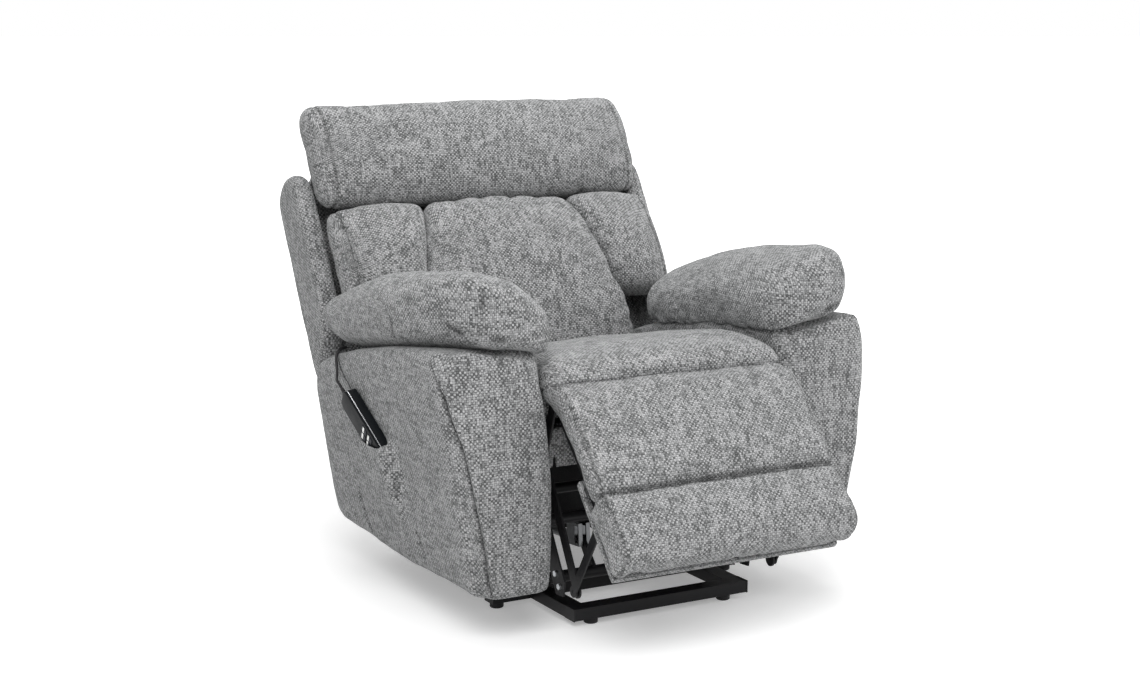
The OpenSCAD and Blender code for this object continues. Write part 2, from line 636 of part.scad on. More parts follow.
module motor(rear, pin, x, tube) along(rear, pin, x) difference() {
    union() {
        rotate([0, 90, 0]) cylinder(h = 36, r = 13, center = true, $fn = 48);
        translate([-15, 0, -13]) cube([30, 34, 26]);
        translate([-22, 30, -20]) cube([44, 60, 40]);
        translate([0, 42, -58]) rotate([-90, 0, 0]) cylinder(h = 96, r = 20, $fn = 48);
        translate([-17, 38, -46]) cube([34, 50, 30]);
        translate([0, 90, 0]) rotate([-90, 0, 0]) cylinder(h = tube, r = 17, $fn = 48);
    }
    rotate([0, 90, 0]) cylinder(h = 50, r = pin_r + bore_gap, center = true, $fn = 48);
    translate([0, 96, 0]) rotate([-90, 0, 0]) cylinder(h = tube, r = 11.5, $fn = 48);
}

// A rod with a slotted fork; the slot takes up the swing of the crank pin
module rod(rear, pin, x, start, slot) along(rear, pin, x) {
    reach = norm(pin - rear);
    translate([0, start, 0]) rotate([-90, 0, 0]) cylinder(h = reach - start - 40, r = 10.5, $fn = 48);
    difference() {
        translate([-14, reach - 42, slot[0] - 12]) cube([28, 54, 24 + slot[1] - slot[0]]);
        translate([-5, reach - 34, slot[0] - 20]) cube([10, 60, 70]);
        for (k = [-15, 4.9]) translate([k, reach - pin_r - 2.4, slot[0] - pin_r - 0.5])
            cube([10.1, 2 * pin_r + 4.8, slot[1] - slot[0] + 2 * pin_r + 1]);
    }
}

module lift_motor() color(black) at_base() motor(lift_rear_pin, lift_crank_pin, lift_x, 180);
module lift_rod() color(zinc) at_base() rod(lift_rear_pin, lift_crank_pin, lift_x, 130, [-22, 4]);
module recline_motor() color(black) at_base() motor(recline_rear_pin, recline_crank_pin, recline_x, 170);
module recline_rod() color(zinc) at_base() rod(recline_rear_pin, recline_crank_pin, recline_x, 130, [-18, 4]);

// ---- handset ----

hs_mouth = [-503.5, 348, 366.5];
hs_low = -70;
hs_top = 118;
hs_out = 12;
hs_lean = 51;
button_z = [-14, 12];
button_y = 10;

// Local axes: X through the handset, Y across its face, Z along it and out of the pocket
module handset_place() translate(hs_mouth) rotate([0, -hs_out, 0]) rotate([-hs_lean, 0, 0]) children();

module handset_slab(x0, x1, inset) translate([x0, 0, 0]) rotate([90, 0, 90]) linear_extrude(x1 - x0)
    hull() for (y = [-1, 1]) {
        translate([y * (hs_w / 2 - 10 - inset), hs_low + 10 + inset]) circle(r = 10, $fn = 32);
        translate([y * (hs_w / 2 - 14 - inset), hs_top - 16 - inset]) circle(r = 14, $fn = 32);
    }

module handset_body() color(black) at_base() handset_place() difference() {
    handset_slab(-hs_t / 2, hs_t / 2, 0);
    for (y = [-1, 1], z = button_z)
        translate([-hs_t / 2 - 1, y * button_y - 8.5, z - 10.5]) cube([4, 17, 21]);
    // Groove for the trim line
    difference() {
        handset_slab(-8, -6, -2);
        handset_slab(-9, -5, 1);
    }
}

module handset_trim() color(zinc) at_base() handset_place() difference() {
    handset_slab(-7.9, -6.1, -0.3);
    handset_slab(-9, -5, 0.9);
}

module button(y, z) handset_place() translate([-hs_t / 2 - 1.4, y - 8, z - 10]) cube([3, 16, 20]);
module button_up() color(black) at_base() button(-button_y, button_z[1]);
module button_down() color(black) at_base() button(button_y, button_z[1]);
module button_lift() color(black) at_base() button(-button_y, button_z[0]);
module button_lower() color(black) at_base() button(button_y, button_z[0]);

module strain_relief() color(black) at_base() handset_place()
    translate([0, 8, hs_top - 1.6]) cylinder(h = 26, r1 = 5.5, r2 = 3.6, $fn = 32);

// Routes of the cord and the tether, from the gap under the arm pillow to the handset
cord_route = [[-480, 535, 523], [-490, 530, 522.5], [-499.6, 525, 521], [-507, 521, 514.8],
    [-510.4, 518, 504.4], [-511.5, 515, 494], [-512, 511, 484], [-513.5, 507, 475.5], [-516.5, 501, 469.5],
    [-520.5, 493, 466], [-523, 485.5, 463.5], [-523.5, 479, 460], [-522.1, 471.2, 454],
    [-520.8, 463.7, 448.1]];
tether_route = [[-476, 527, 523.5], [-488, 524, 523.5], [-500.4, 520, 521], [-507.6, 514, 511.5],
    [-509, 506, 498.8], [-509.4, 496, 487.3], [-509.7, 483, 477.3], [-511, 467, 468.5], [-512.3, 453, 464],
    [-513.8, 443, 461], [-514.6, 436, 457.5], [-513.7, 429.5, 452.8]];

// A round cord swept along the points p
module cord(p, d, sides) {
    c = len(p);
    rings = [for (i = [0 : c - 1]) let (
        t = p[min(i + 1, c - 1)] - p[max(i - 1, 0)], f = t / norm(t),
        a = cross(f, [1, 0, 0.2]), u = a / norm(a), v = cross(f, u))
        [for (k = [0 : sides - 1]) p[i] + d / 2 * (cos(k * 360 / sides) * u + sin(k * 360 / sides) * v)]];
    loft(rings);
}

module handset_cord() color(black) at_base() cord(cord_route, 6, 8);
module handset_tether() color(black) at_base() cord(tether_route, 2, 8);

base_end_tubes();
base_side_tubes();
base_outrigger();
tube_end_caps();
floor_feet();
base_pivot_lugs();
base_pivot_bolts();
rear_lift_links();
front_lift_links();
front_link_shaft();
mechanism_side_plates();
mechanism_cross_tubes();
chair_pivot_lugs();
chair_pivot_bolts();
seat_side_rails();
seat_cross_rails();
seat_webbing();
seat_cushion();
front_valance();
arm_frames();
arm_decks();
arm_inner_panels();
arm_side_panel_left();
arm_side_panel_right();
arm_front_panels();
arm_pillow_left();
arm_pillow_right();
arm_bolts();
control_box();
lower_rear_panel();
back_frame();
back_hinge_brackets();
back_rear_panel();
back_side_panels();
back_cushion();
back_wing_left();
back_wing_right();
headrest_roll();
footrest_board();
lower_leg_pad();
upper_leg_pad();
footrest_hinge_arms();
footrest_hinge_lugs();
footrest_brackets();
footrest_long_links();
footrest_drive_shaft();
footrest_couplers();
lift_motor();
lift_rod();
recline_motor();
recline_rod();
handset_body();
handset_trim();
strain_relief();
button_up();
button_down();
button_lift();
button_lower();
handset_cord();
handset_tether();
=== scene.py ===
"""Dresses the lift recliner chair: padded upholstery, metal and timber finishes, handset, cords and studio."""

import json
import math

import bmesh
import bpy
import numpy as np
from bpy.props import FloatProperty, FloatVectorProperty, IntProperty, PointerProperty
from mathutils import Matrix, Vector, noise

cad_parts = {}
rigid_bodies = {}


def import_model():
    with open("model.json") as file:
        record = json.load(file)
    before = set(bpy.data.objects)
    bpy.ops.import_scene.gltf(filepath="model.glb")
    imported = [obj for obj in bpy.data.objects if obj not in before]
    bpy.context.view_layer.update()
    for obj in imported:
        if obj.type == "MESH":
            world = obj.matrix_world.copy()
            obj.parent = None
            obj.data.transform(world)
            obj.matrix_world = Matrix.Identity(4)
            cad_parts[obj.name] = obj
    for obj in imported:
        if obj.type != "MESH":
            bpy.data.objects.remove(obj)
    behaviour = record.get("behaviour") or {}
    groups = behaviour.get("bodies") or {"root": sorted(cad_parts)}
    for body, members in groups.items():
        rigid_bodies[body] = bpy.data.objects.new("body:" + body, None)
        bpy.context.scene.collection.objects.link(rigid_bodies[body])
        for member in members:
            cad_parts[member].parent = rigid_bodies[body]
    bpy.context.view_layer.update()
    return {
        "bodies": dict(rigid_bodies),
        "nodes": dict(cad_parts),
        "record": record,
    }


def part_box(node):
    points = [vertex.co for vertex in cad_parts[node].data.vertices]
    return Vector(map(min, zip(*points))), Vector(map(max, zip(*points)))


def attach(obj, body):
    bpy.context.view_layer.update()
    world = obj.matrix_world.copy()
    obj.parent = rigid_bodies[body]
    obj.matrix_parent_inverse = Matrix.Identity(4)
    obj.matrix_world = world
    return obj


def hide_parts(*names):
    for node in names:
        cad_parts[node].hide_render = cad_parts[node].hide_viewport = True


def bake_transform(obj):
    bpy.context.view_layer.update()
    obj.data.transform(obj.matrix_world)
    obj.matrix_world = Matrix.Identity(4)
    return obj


bl_info = {
    "name": "Lift Recliner Chair",
    "version": (1, 0, 0),
    "blender": (4, 5, 0),
    "location": "3D View > Sidebar > Recliner",
    "description": "Upholstery, finishes, handset and studio for a lift recliner chair",
    "category": "Add Mesh",
}

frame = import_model()
NODE = frame["nodes"]
BODY_OF = {node: body for body, nodes in frame["record"]["behaviour"]["bodies"].items() for node in nodes}

MM = 0.001
HARD_EDGE = math.radians(35)  # edges sharper than this are rounded
DEEPEST_SEAM = 6 * MM  # a seam this deep gets the darkest painted shade
MERGE_DISTANCE = 0.01 * MM  # points of a CAD node that lie closer are one point
FRONT_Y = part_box("base_end_tubes")[0].y  # the base frame's front face

# The back and the footrest lean, so their fabric is mapped in their own upright axes
BACK_LEAN = math.radians(30)
PAD_LEAN = math.radians(47)


def at(x, y, z):
    """A point in metres from millimetres: x from the middle, y from the base's front face, z from the floor."""
    return Vector((x * MM, y * MM + FRONT_Y, z * MM))


# ---- settings ----


class ChenilleSettings(bpy.types.PropertyGroup):
    dark: FloatVectorProperty(name="Dark yarn", description="Colour of the dark flecks", subtype="COLOR",
                              default=(0.078, 0.080, 0.080))
    middle: FloatVectorProperty(name="Middle yarn", description="Colour of most of the yarn", subtype="COLOR",
                                default=(0.25, 0.253, 0.255))
    light: FloatVectorProperty(name="Light yarn", description="Colour of the light flecks", subtype="COLOR",
                               default=(0.42, 0.42, 0.425))
    pitch: FloatProperty(name="Thread pitch", description="Distance between two threads", subtype="DISTANCE",
                         default=0.0046, min=0.001, max=0.02)
    relief: FloatProperty(name="Thread relief", description="Height of a thread", subtype="DISTANCE",
                          default=0.0011, min=0, max=0.004)


class PaddingSettings(bpy.types.PropertyGroup):
    pressure: FloatProperty(name="Pressure", description="How hard the filling pushes", default=4.0, min=0, max=20)
    frames: IntProperty(name="Frames", description="Length of the cloth simulation", default=20, min=2, max=60)
    cap: FloatProperty(name="Largest swell", description="How far a point may move", subtype="DISTANCE",
                       default=0.022, min=0, max=0.04)
    share: FloatProperty(name="Share of swelling", description="How much of the overall swelling is kept",
                         default=0.22, min=0, max=1)
    slack: FloatProperty(name="Slack", description="Share by which a cover is larger than its filling",
                         default=0.03, min=0, max=0.2)


class FinishSettings(bpy.types.PropertyGroup):
    steel: FloatVectorProperty(name="Frame coat", description="Colour of the powder-coated frame", subtype="COLOR",
                               default=(0.006, 0.006, 0.007))
    zinc: FloatVectorProperty(name="Zinc", description="Colour of the zinc-plated fixings", subtype="COLOR",
                              default=(0.62, 0.64, 0.66))
    timber: FloatVectorProperty(name="Timber", description="Colour of the plywood and pine", subtype="COLOR",
                                default=(0.52, 0.34, 0.18))
    plastic: FloatVectorProperty(name="Plastic", description="Colour of the black plastic", subtype="COLOR",
                                 default=(0.009, 0.009, 0.010))


class StudioSettings(bpy.types.PropertyGroup):
    azimuth: FloatProperty(name="View azimuth", description="Camera direction round the chair", default=-29.08)
    elevation: FloatProperty(name="View elevation", description="Camera height above level", default=10.35)
    distance: FloatProperty(name="View distance", description="Camera to target", subtype="DISTANCE", default=4.452)
    lens: FloatProperty(name="Lens", description="Focal length in millimetres", default=63.19)
    key: FloatProperty(name="Key light", description="Power of the key light in watts", default=95.0)
    fill: FloatProperty(name="Fill light", description="Power of the fill light in watts", default=40.0)
    sky: FloatProperty(name="Sky", description="Strength of the even light", default=0.55)


SETTINGS = (
    ("chenille", ChenilleSettings),
    ("padding", PaddingSettings),
    ("finish", FinishSettings),
    ("studio", StudioSettings),
)


def settings(name):
    return getattr(bpy.context.scene, "recliner_" + name)


# ---- mesh tools ----


def select_only(*pieces):
    bpy.ops.object.select_all(action="DESELECT")
    for piece in pieces:
        piece.select_set(True)
    bpy.context.view_layer.objects.active = pieces[0]


def read(items, key, width=3, kind=float):
    """One property of all these points, faces or values, in rows of this width."""
    data = np.empty(len(items) * width, kind)
    items.foreach_get(key, data)
    return data.reshape(-1, width) if width > 1 else data


def points_of(piece):
    return read(piece.data.vertices, "co")


def normals_of(piece):
    return read(piece.data.vertices, "normal")


def move_points(piece, points):
    piece.data.vertices.foreach_set("co", np.ascontiguousarray(points, float).ravel())
    piece.data.update()


def modify(piece, kind, **values):
    """Adds a modifier with these values and applies it."""
    modifier = piece.modifiers.new(kind.title(), kind)
    for key, value in values.items():
        setattr(modifier, key, value)
    select_only(piece)
    bpy.ops.object.modifier_apply(modifier=modifier.name)
    return piece


def remesh(piece, voxel):
    """Rebuilds a closed piece as one even mesh."""
    modify(piece, "REMESH", mode="VOXEL", voxel_size=voxel)


def ease(piece, rounds, **where):
    """Averages each point with its neighbours this many times."""
    modify(piece, "SMOOTH", factor=0.5, iterations=rounds, **where)


def cut_away(piece, tool):
    """Takes the tool's solid out of the piece, and the tool out of the scene."""
    modify(piece, "BOOLEAN", operation="DIFFERENCE", object=tool, solver="EXACT")
    bpy.data.objects.remove(tool)


def new_piece(name, vertices, faces):
    mesh = bpy.data.meshes.new(name)
    mesh.from_pydata([tuple(v) for v in vertices], [], faces)
    mesh.update()
    piece = bpy.data.objects.new(name, mesh)
    bpy.context.scene.collection.objects.link(piece)
    return piece


def edit_mesh(piece, change):
    """Runs a change on the editable form of a piece's mesh."""
    work = bmesh.new()
    work.from_mesh(piece.data)
    change(work)
    work.to_mesh(piece.data)
    work.free()
    return piece


def merged_copy(node, name):
    """A copy of a CAD node as a new piece with its loose triangles joined up."""
    piece = bpy.data.objects.new(name, NODE[node].data.copy())
    bpy.context.scene.collection.objects.link(piece)
    piece.data.materials.clear()
    return edit_mesh(piece, lambda work: bmesh.ops.remove_doubles(work, verts=work.verts, dist=MERGE_DISTANCE))


def finish_piece(piece, node_or_body, material, replaced=()):
    """Gives a piece its material and body, and hides the CAD nodes that it stands for."""
    body = BODY_OF.get(node_or_body, node_or_body)
    piece.data.materials.clear()
    piece.data.materials.append(bpy.data.materials[material])
    if replaced:
        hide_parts(*replaced)
    if body is not None and body in frame["bodies"]:
        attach(piece, body)
    return piece


def smooth_shaded(piece):
    piece.data.polygons.foreach_set("use_smooth", [True] * len(piece.data.polygons))
    piece.data.update()
    return piece


def soften(piece, width):
    """Rounds the sharp edges of a piece and shades it smooth."""
    modify(piece, "BEVEL", width=width, segments=3, limit_method="ANGLE", angle_limit=HARD_EDGE)
    return smooth_shaded(piece)


def thin_cover(node, name, voxel, rounds):
    """A close cover over a CAD node, with soft edges."""
    piece = merged_copy(node, name)
    remesh(piece, voxel)
    ease(piece, rounds)
    return smooth_shaded(piece)


def in_chenille(piece, node, replaced=None):
    """Finishes a piece in chenille."""
    finish_piece(piece, node, "grey_chenille", replaced or [node])


def box_piece(name, corners):
    """A solid box from its four lower and its four upper corners."""
    faces = [(3, 2, 1, 0), (4, 5, 6, 7), (0, 1, 5, 4), (1, 2, 6, 5), (2, 3, 7, 6), (3, 0, 4, 7)]
    return new_piece(name, corners, faces)


# ---- soft forms ----

OVERALL_ROUNDS = 60  # averaging a cover's swelling this many times leaves only its overall form


def blurred(piece, field, rounds):
    """A vector for each point of a piece, averaged with its neighbours' this many times."""
    own = points_of(piece)
    move_points(piece, field)
    ease(piece, rounds)
    result = points_of(piece)
    move_points(piece, own)
    return result


def swell(piece, cap):
    """Lets the cover of a piece swell under the pressure of its filling, and applies the result.

    The folds of the cover are kept whole and its overall swelling in part, so that the piece keeps its outline."""
    pad = settings("padding")
    start = points_of(piece)
    cloth = piece.modifiers.new("Cloth", "CLOTH")
    values = cloth.settings
    values.quality = 4
    values.mass = 0.4
    values.tension_stiffness = values.compression_stiffness = 12
    values.shear_stiffness = 6
    values.bending_stiffness = 0.8
    values.use_pressure = True
    values.uniform_pressure_force = pad.pressure
    values.shrink_min = values.shrink_max = -pad.slack
    values.effector_weights.gravity = 0
    cloth.collision_settings.use_collision = False
    cloth.collision_settings.use_self_collision = False
    cloth.point_cache.frame_start = 1
    cloth.point_cache.frame_end = pad.frames
    for step in range(1, pad.frames + 1):
        bpy.context.scene.frame_set(step)
    shift = points_of(piece.evaluated_get(bpy.context.evaluated_depsgraph_get())) - start
    piece.modifiers.remove(cloth)
    bpy.context.scene.frame_set(1)
    overall = blurred(piece, shift, OVERALL_ROUNDS)
    shift = overall * pad.share + (shift - overall)
    length = np.linalg.norm(shift, axis=1, keepdims=True)
    shift *= np.minimum(1, cap / np.maximum(length, 1e-9))
    move_points(piece, start + shift)


def padded_form(piece, voxel=0.006, cap=None, shrink=0.001, relax=6):
    """Turns a closed shape into an even mesh, lets it swell, softens it and subdivides it once."""
    remesh(piece, voxel)
    ease(piece, relax)
    if cap is None:
        cap = settings("padding").cap
    if cap:
        modify(piece, "DISPLACE", strength=-shrink, mid_level=0)
        swell(piece, cap)
        ease(piece, 2)
    modify(piece, "SUBSURF", levels=1, render_levels=1)
    return smooth_shaded(piece)


def sew(piece, distance, width=0.006, depth=0.005):
    """Draws a seam in: points are moved inwards where distance(points, normals) is near zero, and the cloth there
    gets painted shade.
    """
    points, normals = points_of(piece), normals_of(piece)
    away = distance(points, normals) / width
    groove = np.exp(-away * away)
    move_points(piece, points - normals * (depth * groove)[:, None])
    paint_seam_shade(piece, groove * min(1.0, depth / DEEPEST_SEAM))


def paint_seam_shade(piece, share):
    """Stores how deep in a seam each point lies, for the painted shade that darkens the cloth there."""
    known = piece.data.attributes.get("seam")
    if known is None:
        known = piece.data.attributes.new("seam", "FLOAT", "POINT")
    known.data.foreach_set("value", np.maximum(read(known.data, "value", 1), share))


def pucker(piece, height, length, seed, stretch=(1, 1, 1), mask=None):
    """Small folds in the cover from smooth noise, longer along the axes with a small stretch."""
    points, normals = points_of(piece), normals_of(piece)
    scale = np.array(stretch) / length
    offset = Vector((seed * 3.1, seed * 1.7, seed * 2.3))
    rise = np.array([noise.noise(Vector(p) + offset) for p in points * scale])
    if mask is not None:
        rise = rise * mask(points, normals)
    move_points(piece, points + normals * (rise * height)[:, None])


def fill_box(piece, node, keep=()):
    """Scales a piece along the axes so that it fills the box of the CAD node that it stands for."""
    points = points_of(piece)
    lo, hi = points.min(axis=0), points.max(axis=0)
    wanted = [np.array(corner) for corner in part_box(node)]
    scale = (wanted[1] - wanted[0]) / (hi - lo)
    shifted = (points - lo) * scale + wanted[0]
    for axis in keep:
        shifted[:, axis] = points[:, axis]
    move_points(piece, shifted)


def from_line(points, line):
    """The distance in millimetres of points from a line through these corners, in as many axes as they have."""
    corners = np.array(line, float)
    nearest = np.full(len(points), np.inf)
    for a, b in zip(corners, corners[1:]):
        along = b - a
        t = np.clip(((points - a) @ along) / (along @ along), 0, 1)
        nearest = np.minimum(nearest, np.linalg.norm(points - a - t[:, None] * along, axis=1))
    return nearest


def in_mm(points):
    """Points in millimetres, with y counted from the base's front face."""
    return (points - (0, FRONT_Y, 0)) / MM


def crease(piece, line, width=6, depth=4):
    """A soft fold or a short seam along a line on the piece, in millimetres, with painted shade in it."""
    sew(piece, lambda p, n: from_line(in_mm(p), line) * MM, width * MM, depth * MM)


# ---- how the weave lies ----

FULL_TURN = 2 * math.pi
ROLL_STATIONS = 120
ROLL_END = 0.78  # a face whose normal lies along a roll by more than this is part of its end


def corners_of(piece):
    """For each corner of each face: its place, its face's normal and its face's middle."""
    mesh = piece.data
    index = read(mesh.loops, "vertex_index", 1, np.int32)
    count = read(mesh.polygons, "loop_total", 1, np.int32)
    of_faces = [np.repeat(read(mesh.polygons, key), count, axis=0) for key in ("normal", "center")]
    return [points_of(piece)[index]] + of_faces


def set_weave(piece, across, along):
    """Stores where each corner lies in the cloth, in metres across and along the weave."""
    place = np.zeros((len(across), 3))
    place[:, 0], place[:, 1] = across, along
    attribute = piece.data.attributes.new("weave", "FLOAT_VECTOR", "CORNER")
    attribute.data.foreach_set("vector", place.ravel())


def turned(vectors, lean):
    """Vectors in the axes of a leaning part: across, up along it, and behind its front."""
    y, z = vectors[:, 1], vectors[:, 2]
    return np.stack([vectors[:, 0], y * math.sin(lean) + z * math.cos(lean),
                     y * math.cos(lean) - z * math.sin(lean)], axis=1)


def ring_length(radius):
    """The length round a closed outline up to each of its stations, from its radius at each."""
    turn = np.linspace(-math.pi, math.pi, len(radius), endpoint=False)
    xs, ys = radius * np.cos(turn), radius * np.sin(turn)
    return turn, np.concatenate([[0], np.cumsum(np.hypot(np.diff(xs, append=xs[0]), np.diff(ys, append=ys[0])))])


def roll_weave(piece, axis=0, lean=0.0):
    """Lays the cloth round a roll along this axis, and flat over the roll's two ends."""
    place, facing, middle = (turned(v, lean) for v in corners_of(piece))
    first, second = [k for k in range(3) if k != axis]
    centre = (place.min(axis=0) + place.max(axis=0)) / 2
    place, middle = place - centre, middle - centre
    turn = np.arctan2(place[:, second], place[:, first])
    face_turn = np.arctan2(middle[:, second], middle[:, first])
    turn += FULL_TURN * np.round((face_turn - turn) / FULL_TURN)
    radius = np.zeros(ROLL_STATIONS)
    slot = np.floor((turn / FULL_TURN + 0.5) * ROLL_STATIONS).astype(int) % ROLL_STATIONS
    np.maximum.at(radius, slot, np.hypot(place[:, first], place[:, second]))
    radius[radius == 0] = radius[radius > 0].mean()
    angles, length = ring_length(radius)
    lap = np.floor(turn / FULL_TURN + 0.5)
    along = np.interp(turn - lap * FULL_TURN, np.append(angles, math.pi), length) + lap * length[-1]
    end = np.abs(facing[:, axis]) > ROLL_END
    set_weave(piece, np.where(end, place[:, first], place[:, axis]), np.where(end, place[:, second], along))


def flat_weave(piece, lean=0.0):
    """Lays the cloth flat on each side of a panel, by the side that each face looks to."""
    place, facing, _ = (turned(v, lean) for v in corners_of(piece))
    side = np.abs(facing).argmax(axis=1)
    up, deep = (1, 2) if lean else (2, 1)
    set_weave(piece, np.where(side == 0, place[:, deep], place[:, 0]),
              np.where(side == up, place[:, deep], place[:, up]))


# ---- node helpers ----


class Wiring:
    """Adds and links the nodes of one material or node group."""

    def __init__(self, tree):
        self.tree = tree

    def node(self, kind, inputs=None, **values):
        made = self.tree.nodes.new(kind)
        for key, value in values.items():
            setattr(made, key, value)
        return self.feed_all(made, inputs or {})

    def feed_all(self, made, inputs):
        for key, value in inputs.items():
            self.feed(made.inputs[key], value)
        return made

    def feed(self, socket, value):
        if isinstance(value, bpy.types.NodeSocket):
            self.tree.links.new(value, socket)
        else:
            socket.default_value = value

    def math(self, operation, a, b=None, c=None, clamp=False):
        made = self.tree.nodes.new("ShaderNodeMath")
        made.operation = operation
        made.use_clamp = clamp
        for k, value in enumerate((a, b, c)):
            if value is not None:
                self.feed(made.inputs[k], value)
        return made.outputs[0]

    def add(self, a, b):
        return self.math("ADD", a, b)

    def less(self, a, b):
        return self.math("SUBTRACT", a, b)

    def times(self, a, b):
        return self.math("MULTIPLY", a, b)

    def scaled(self, a, scale, offset, clamp=False):
        return self.math("MULTIPLY_ADD", a, scale, offset, clamp)

    def mix(self, factor, a, b, kind="FLOAT", blend="MIX"):
        made = self.tree.nodes.new("ShaderNodeMix")
        made.data_type = kind
        if kind == "RGBA":
            made.blend_type = blend
        first = {"FLOAT": 2, "VECTOR": 4, "RGBA": 6}[kind]
        self.feed(made.inputs[0], factor)
        self.feed(made.inputs[first], a)
        self.feed(made.inputs[first + 1], b)
        return made.outputs[{"FLOAT": 0, "VECTOR": 1, "RGBA": 2}[kind]]

    def noise(self, vector, scale, detail=2.0, roughness=0.5, dimensions="3D"):
        made = self.node("ShaderNodeTexNoise", {"Vector": vector, "Scale": scale, "Detail": detail,
                                                "Roughness": roughness}, noise_dimensions=dimensions)
        return made.outputs["Fac"]

    def ramp(self, factor, stops):
        made = self.node("ShaderNodeValToRGB", {"Fac": factor})
        ramp = made.color_ramp
        while len(ramp.elements) < len(stops):
            ramp.elements.new(0.5)
        for element, (place, colour) in zip(ramp.elements, stops):
            element.position = place
            element.color = (*colour, 1)
        return made.outputs["Color"]

    def here(self):
        return self.node("ShaderNodeTexCoord").outputs["Object"]

    def vector(self, operation, a, b=None, c=None):
        inputs = {k: value for k, value in enumerate((a, b, c)) if value is not None}
        return self.node("ShaderNodeVectorMath", inputs, operation=operation).outputs[0]

    def bump(self, shader, height, distance, strength):
        made = self.node("ShaderNodeBump", {"Height": height, "Distance": distance, "Strength": strength})
        self.feed(shader.inputs["Normal"], made.outputs[0])

    def seen_directly(self):
        """One for rays of the camera, of reflections and of glass."""
        light = self.node("ShaderNodeLightPath").outputs
        return self.math("MAXIMUM", light["Is Camera Ray"],
                         self.math("MAXIMUM", light["Is Glossy Ray"], light["Is Transmission Ray"]))


def new_group(name, inputs, outputs):
    """Makes a shader node group with these sockets: its wiring, input node and output node."""
    group = bpy.data.node_groups.new(name, "ShaderNodeTree")
    for label, kind, default in inputs:
        socket = group.interface.new_socket(name=label, in_out="INPUT", socket_type=kind)
        if default is not None:
            socket.default_value = default
    for label, kind in outputs:
        group.interface.new_socket(name=label, in_out="OUTPUT", socket_type=kind)
    wiring = Wiring(group)
    return wiring, wiring.node("NodeGroupInput"), wiring.node("NodeGroupOutput")


def make_weave_group():
    """A plain weave of thick yarn: its height, a random value for each short run of yarn, and slubs."""
    w, given, result = new_group(
        "yarn_weave",
        [("Place", "NodeSocketVector", None), ("Pitch", "NodeSocketFloat", 0.004)],
        [("Height", "NodeSocketFloat"), ("Fleck", "NodeSocketFloat"), ("Slub", "NodeSocketFloat")],
    )
    place = given.outputs["Place"]
    sway = w.node("ShaderNodeTexNoise", {"Vector": place, "Scale": 60.0, "Detail": 1.0})
    centred = w.vector("SUBTRACT", sway.outputs["Color"], (0.5, 0.5, 0.5))
    moved = w.vector("MULTIPLY_ADD", centred, (0.003, 0.003, 0.0), place)
    cells = w.node("ShaderNodeVectorMath", {0: moved}, operation="SCALE")
    w.feed(cells.inputs["Scale"], w.math("DIVIDE", 1.0, given.outputs["Pitch"]))
    split = w.node("ShaderNodeSeparateXYZ", {0: cells.outputs[0]})
    x, y = split.outputs["X"], split.outputs["Y"]
    cell_x, cell_y = w.math("FLOOR", x), w.math("FLOOR", y)
    parity = w.math("FLOORED_MODULO", w.add(cell_x, cell_y), 2.0)
    round_x = w.math("SINE", w.times(w.math("FRACT", x), math.pi))
    round_y = w.math("SINE", w.times(w.math("FRACT", y), math.pi))
    weft = w.times(round_y, w.scaled(round_x, 0.5, 0.5))
    warp = w.times(round_x, w.scaled(round_y, 0.5, 0.5))
    w.feed(result.inputs["Height"], w.mix(parity, weft, warp))
    cell = w.node("ShaderNodeCombineXYZ", {0: cell_x, 1: cell_y})
    bead = w.node("ShaderNodeTexWhiteNoise", {"Vector": cell.outputs[0]}, noise_dimensions="2D").outputs["Value"]
    run_weft = w.node("ShaderNodeCombineXYZ", {0: w.times(x, 1.6), 1: w.times(cell_y, 5.3)})
    run_warp = w.node("ShaderNodeCombineXYZ", {0: w.times(cell_x, 5.3), 1: w.times(y, 1.6)})
    fleck_weft = w.noise(run_weft.outputs[0], 1.0, 1.0, dimensions="2D")
    fleck_warp = w.noise(run_warp.outputs[0], 1.0, 1.0, dimensions="2D")
    run = w.mix(parity, fleck_weft, fleck_warp)
    fleck = w.scaled(w.less(bead, 0.5), 0.42, run)
    w.feed(result.inputs["Fleck"], w.scaled(w.less(parity, 0.5), -0.3, fleck))
    slub_place = w.vector("MULTIPLY", place, (130.0, 16.0, 1.0))
    w.feed(result.inputs["Slub"], w.noise(slub_place, 1.0, 3.0, 0.6, dimensions="2D"))


def make_dust_group():
    """Dust in soft patches, with a light settling on what faces up."""
    w, given, result = new_group(
        "dust",
        [("Amount", "NodeSocketFloat", 0.3), ("Patch size", "NodeSocketFloat", 0.08)],
        [("Mask", "NodeSocketFloat")],
    )
    place = w.here()
    scale = w.math("DIVIDE", 1.0, given.outputs["Patch size"])
    patches = w.noise(place, scale, 5.0, 0.65)
    up = w.node("ShaderNodeSeparateXYZ", {0: w.node("ShaderNodeTexCoord").outputs["Normal"]}).outputs["Z"]
    facing = w.scaled(up, 0.35, 0.65, clamp=True)
    mask = w.times(w.math("POWER", patches, 2.0), facing)
    w.feed(result.inputs["Mask"], w.math("MULTIPLY", mask, given.outputs["Amount"], clamp=True))


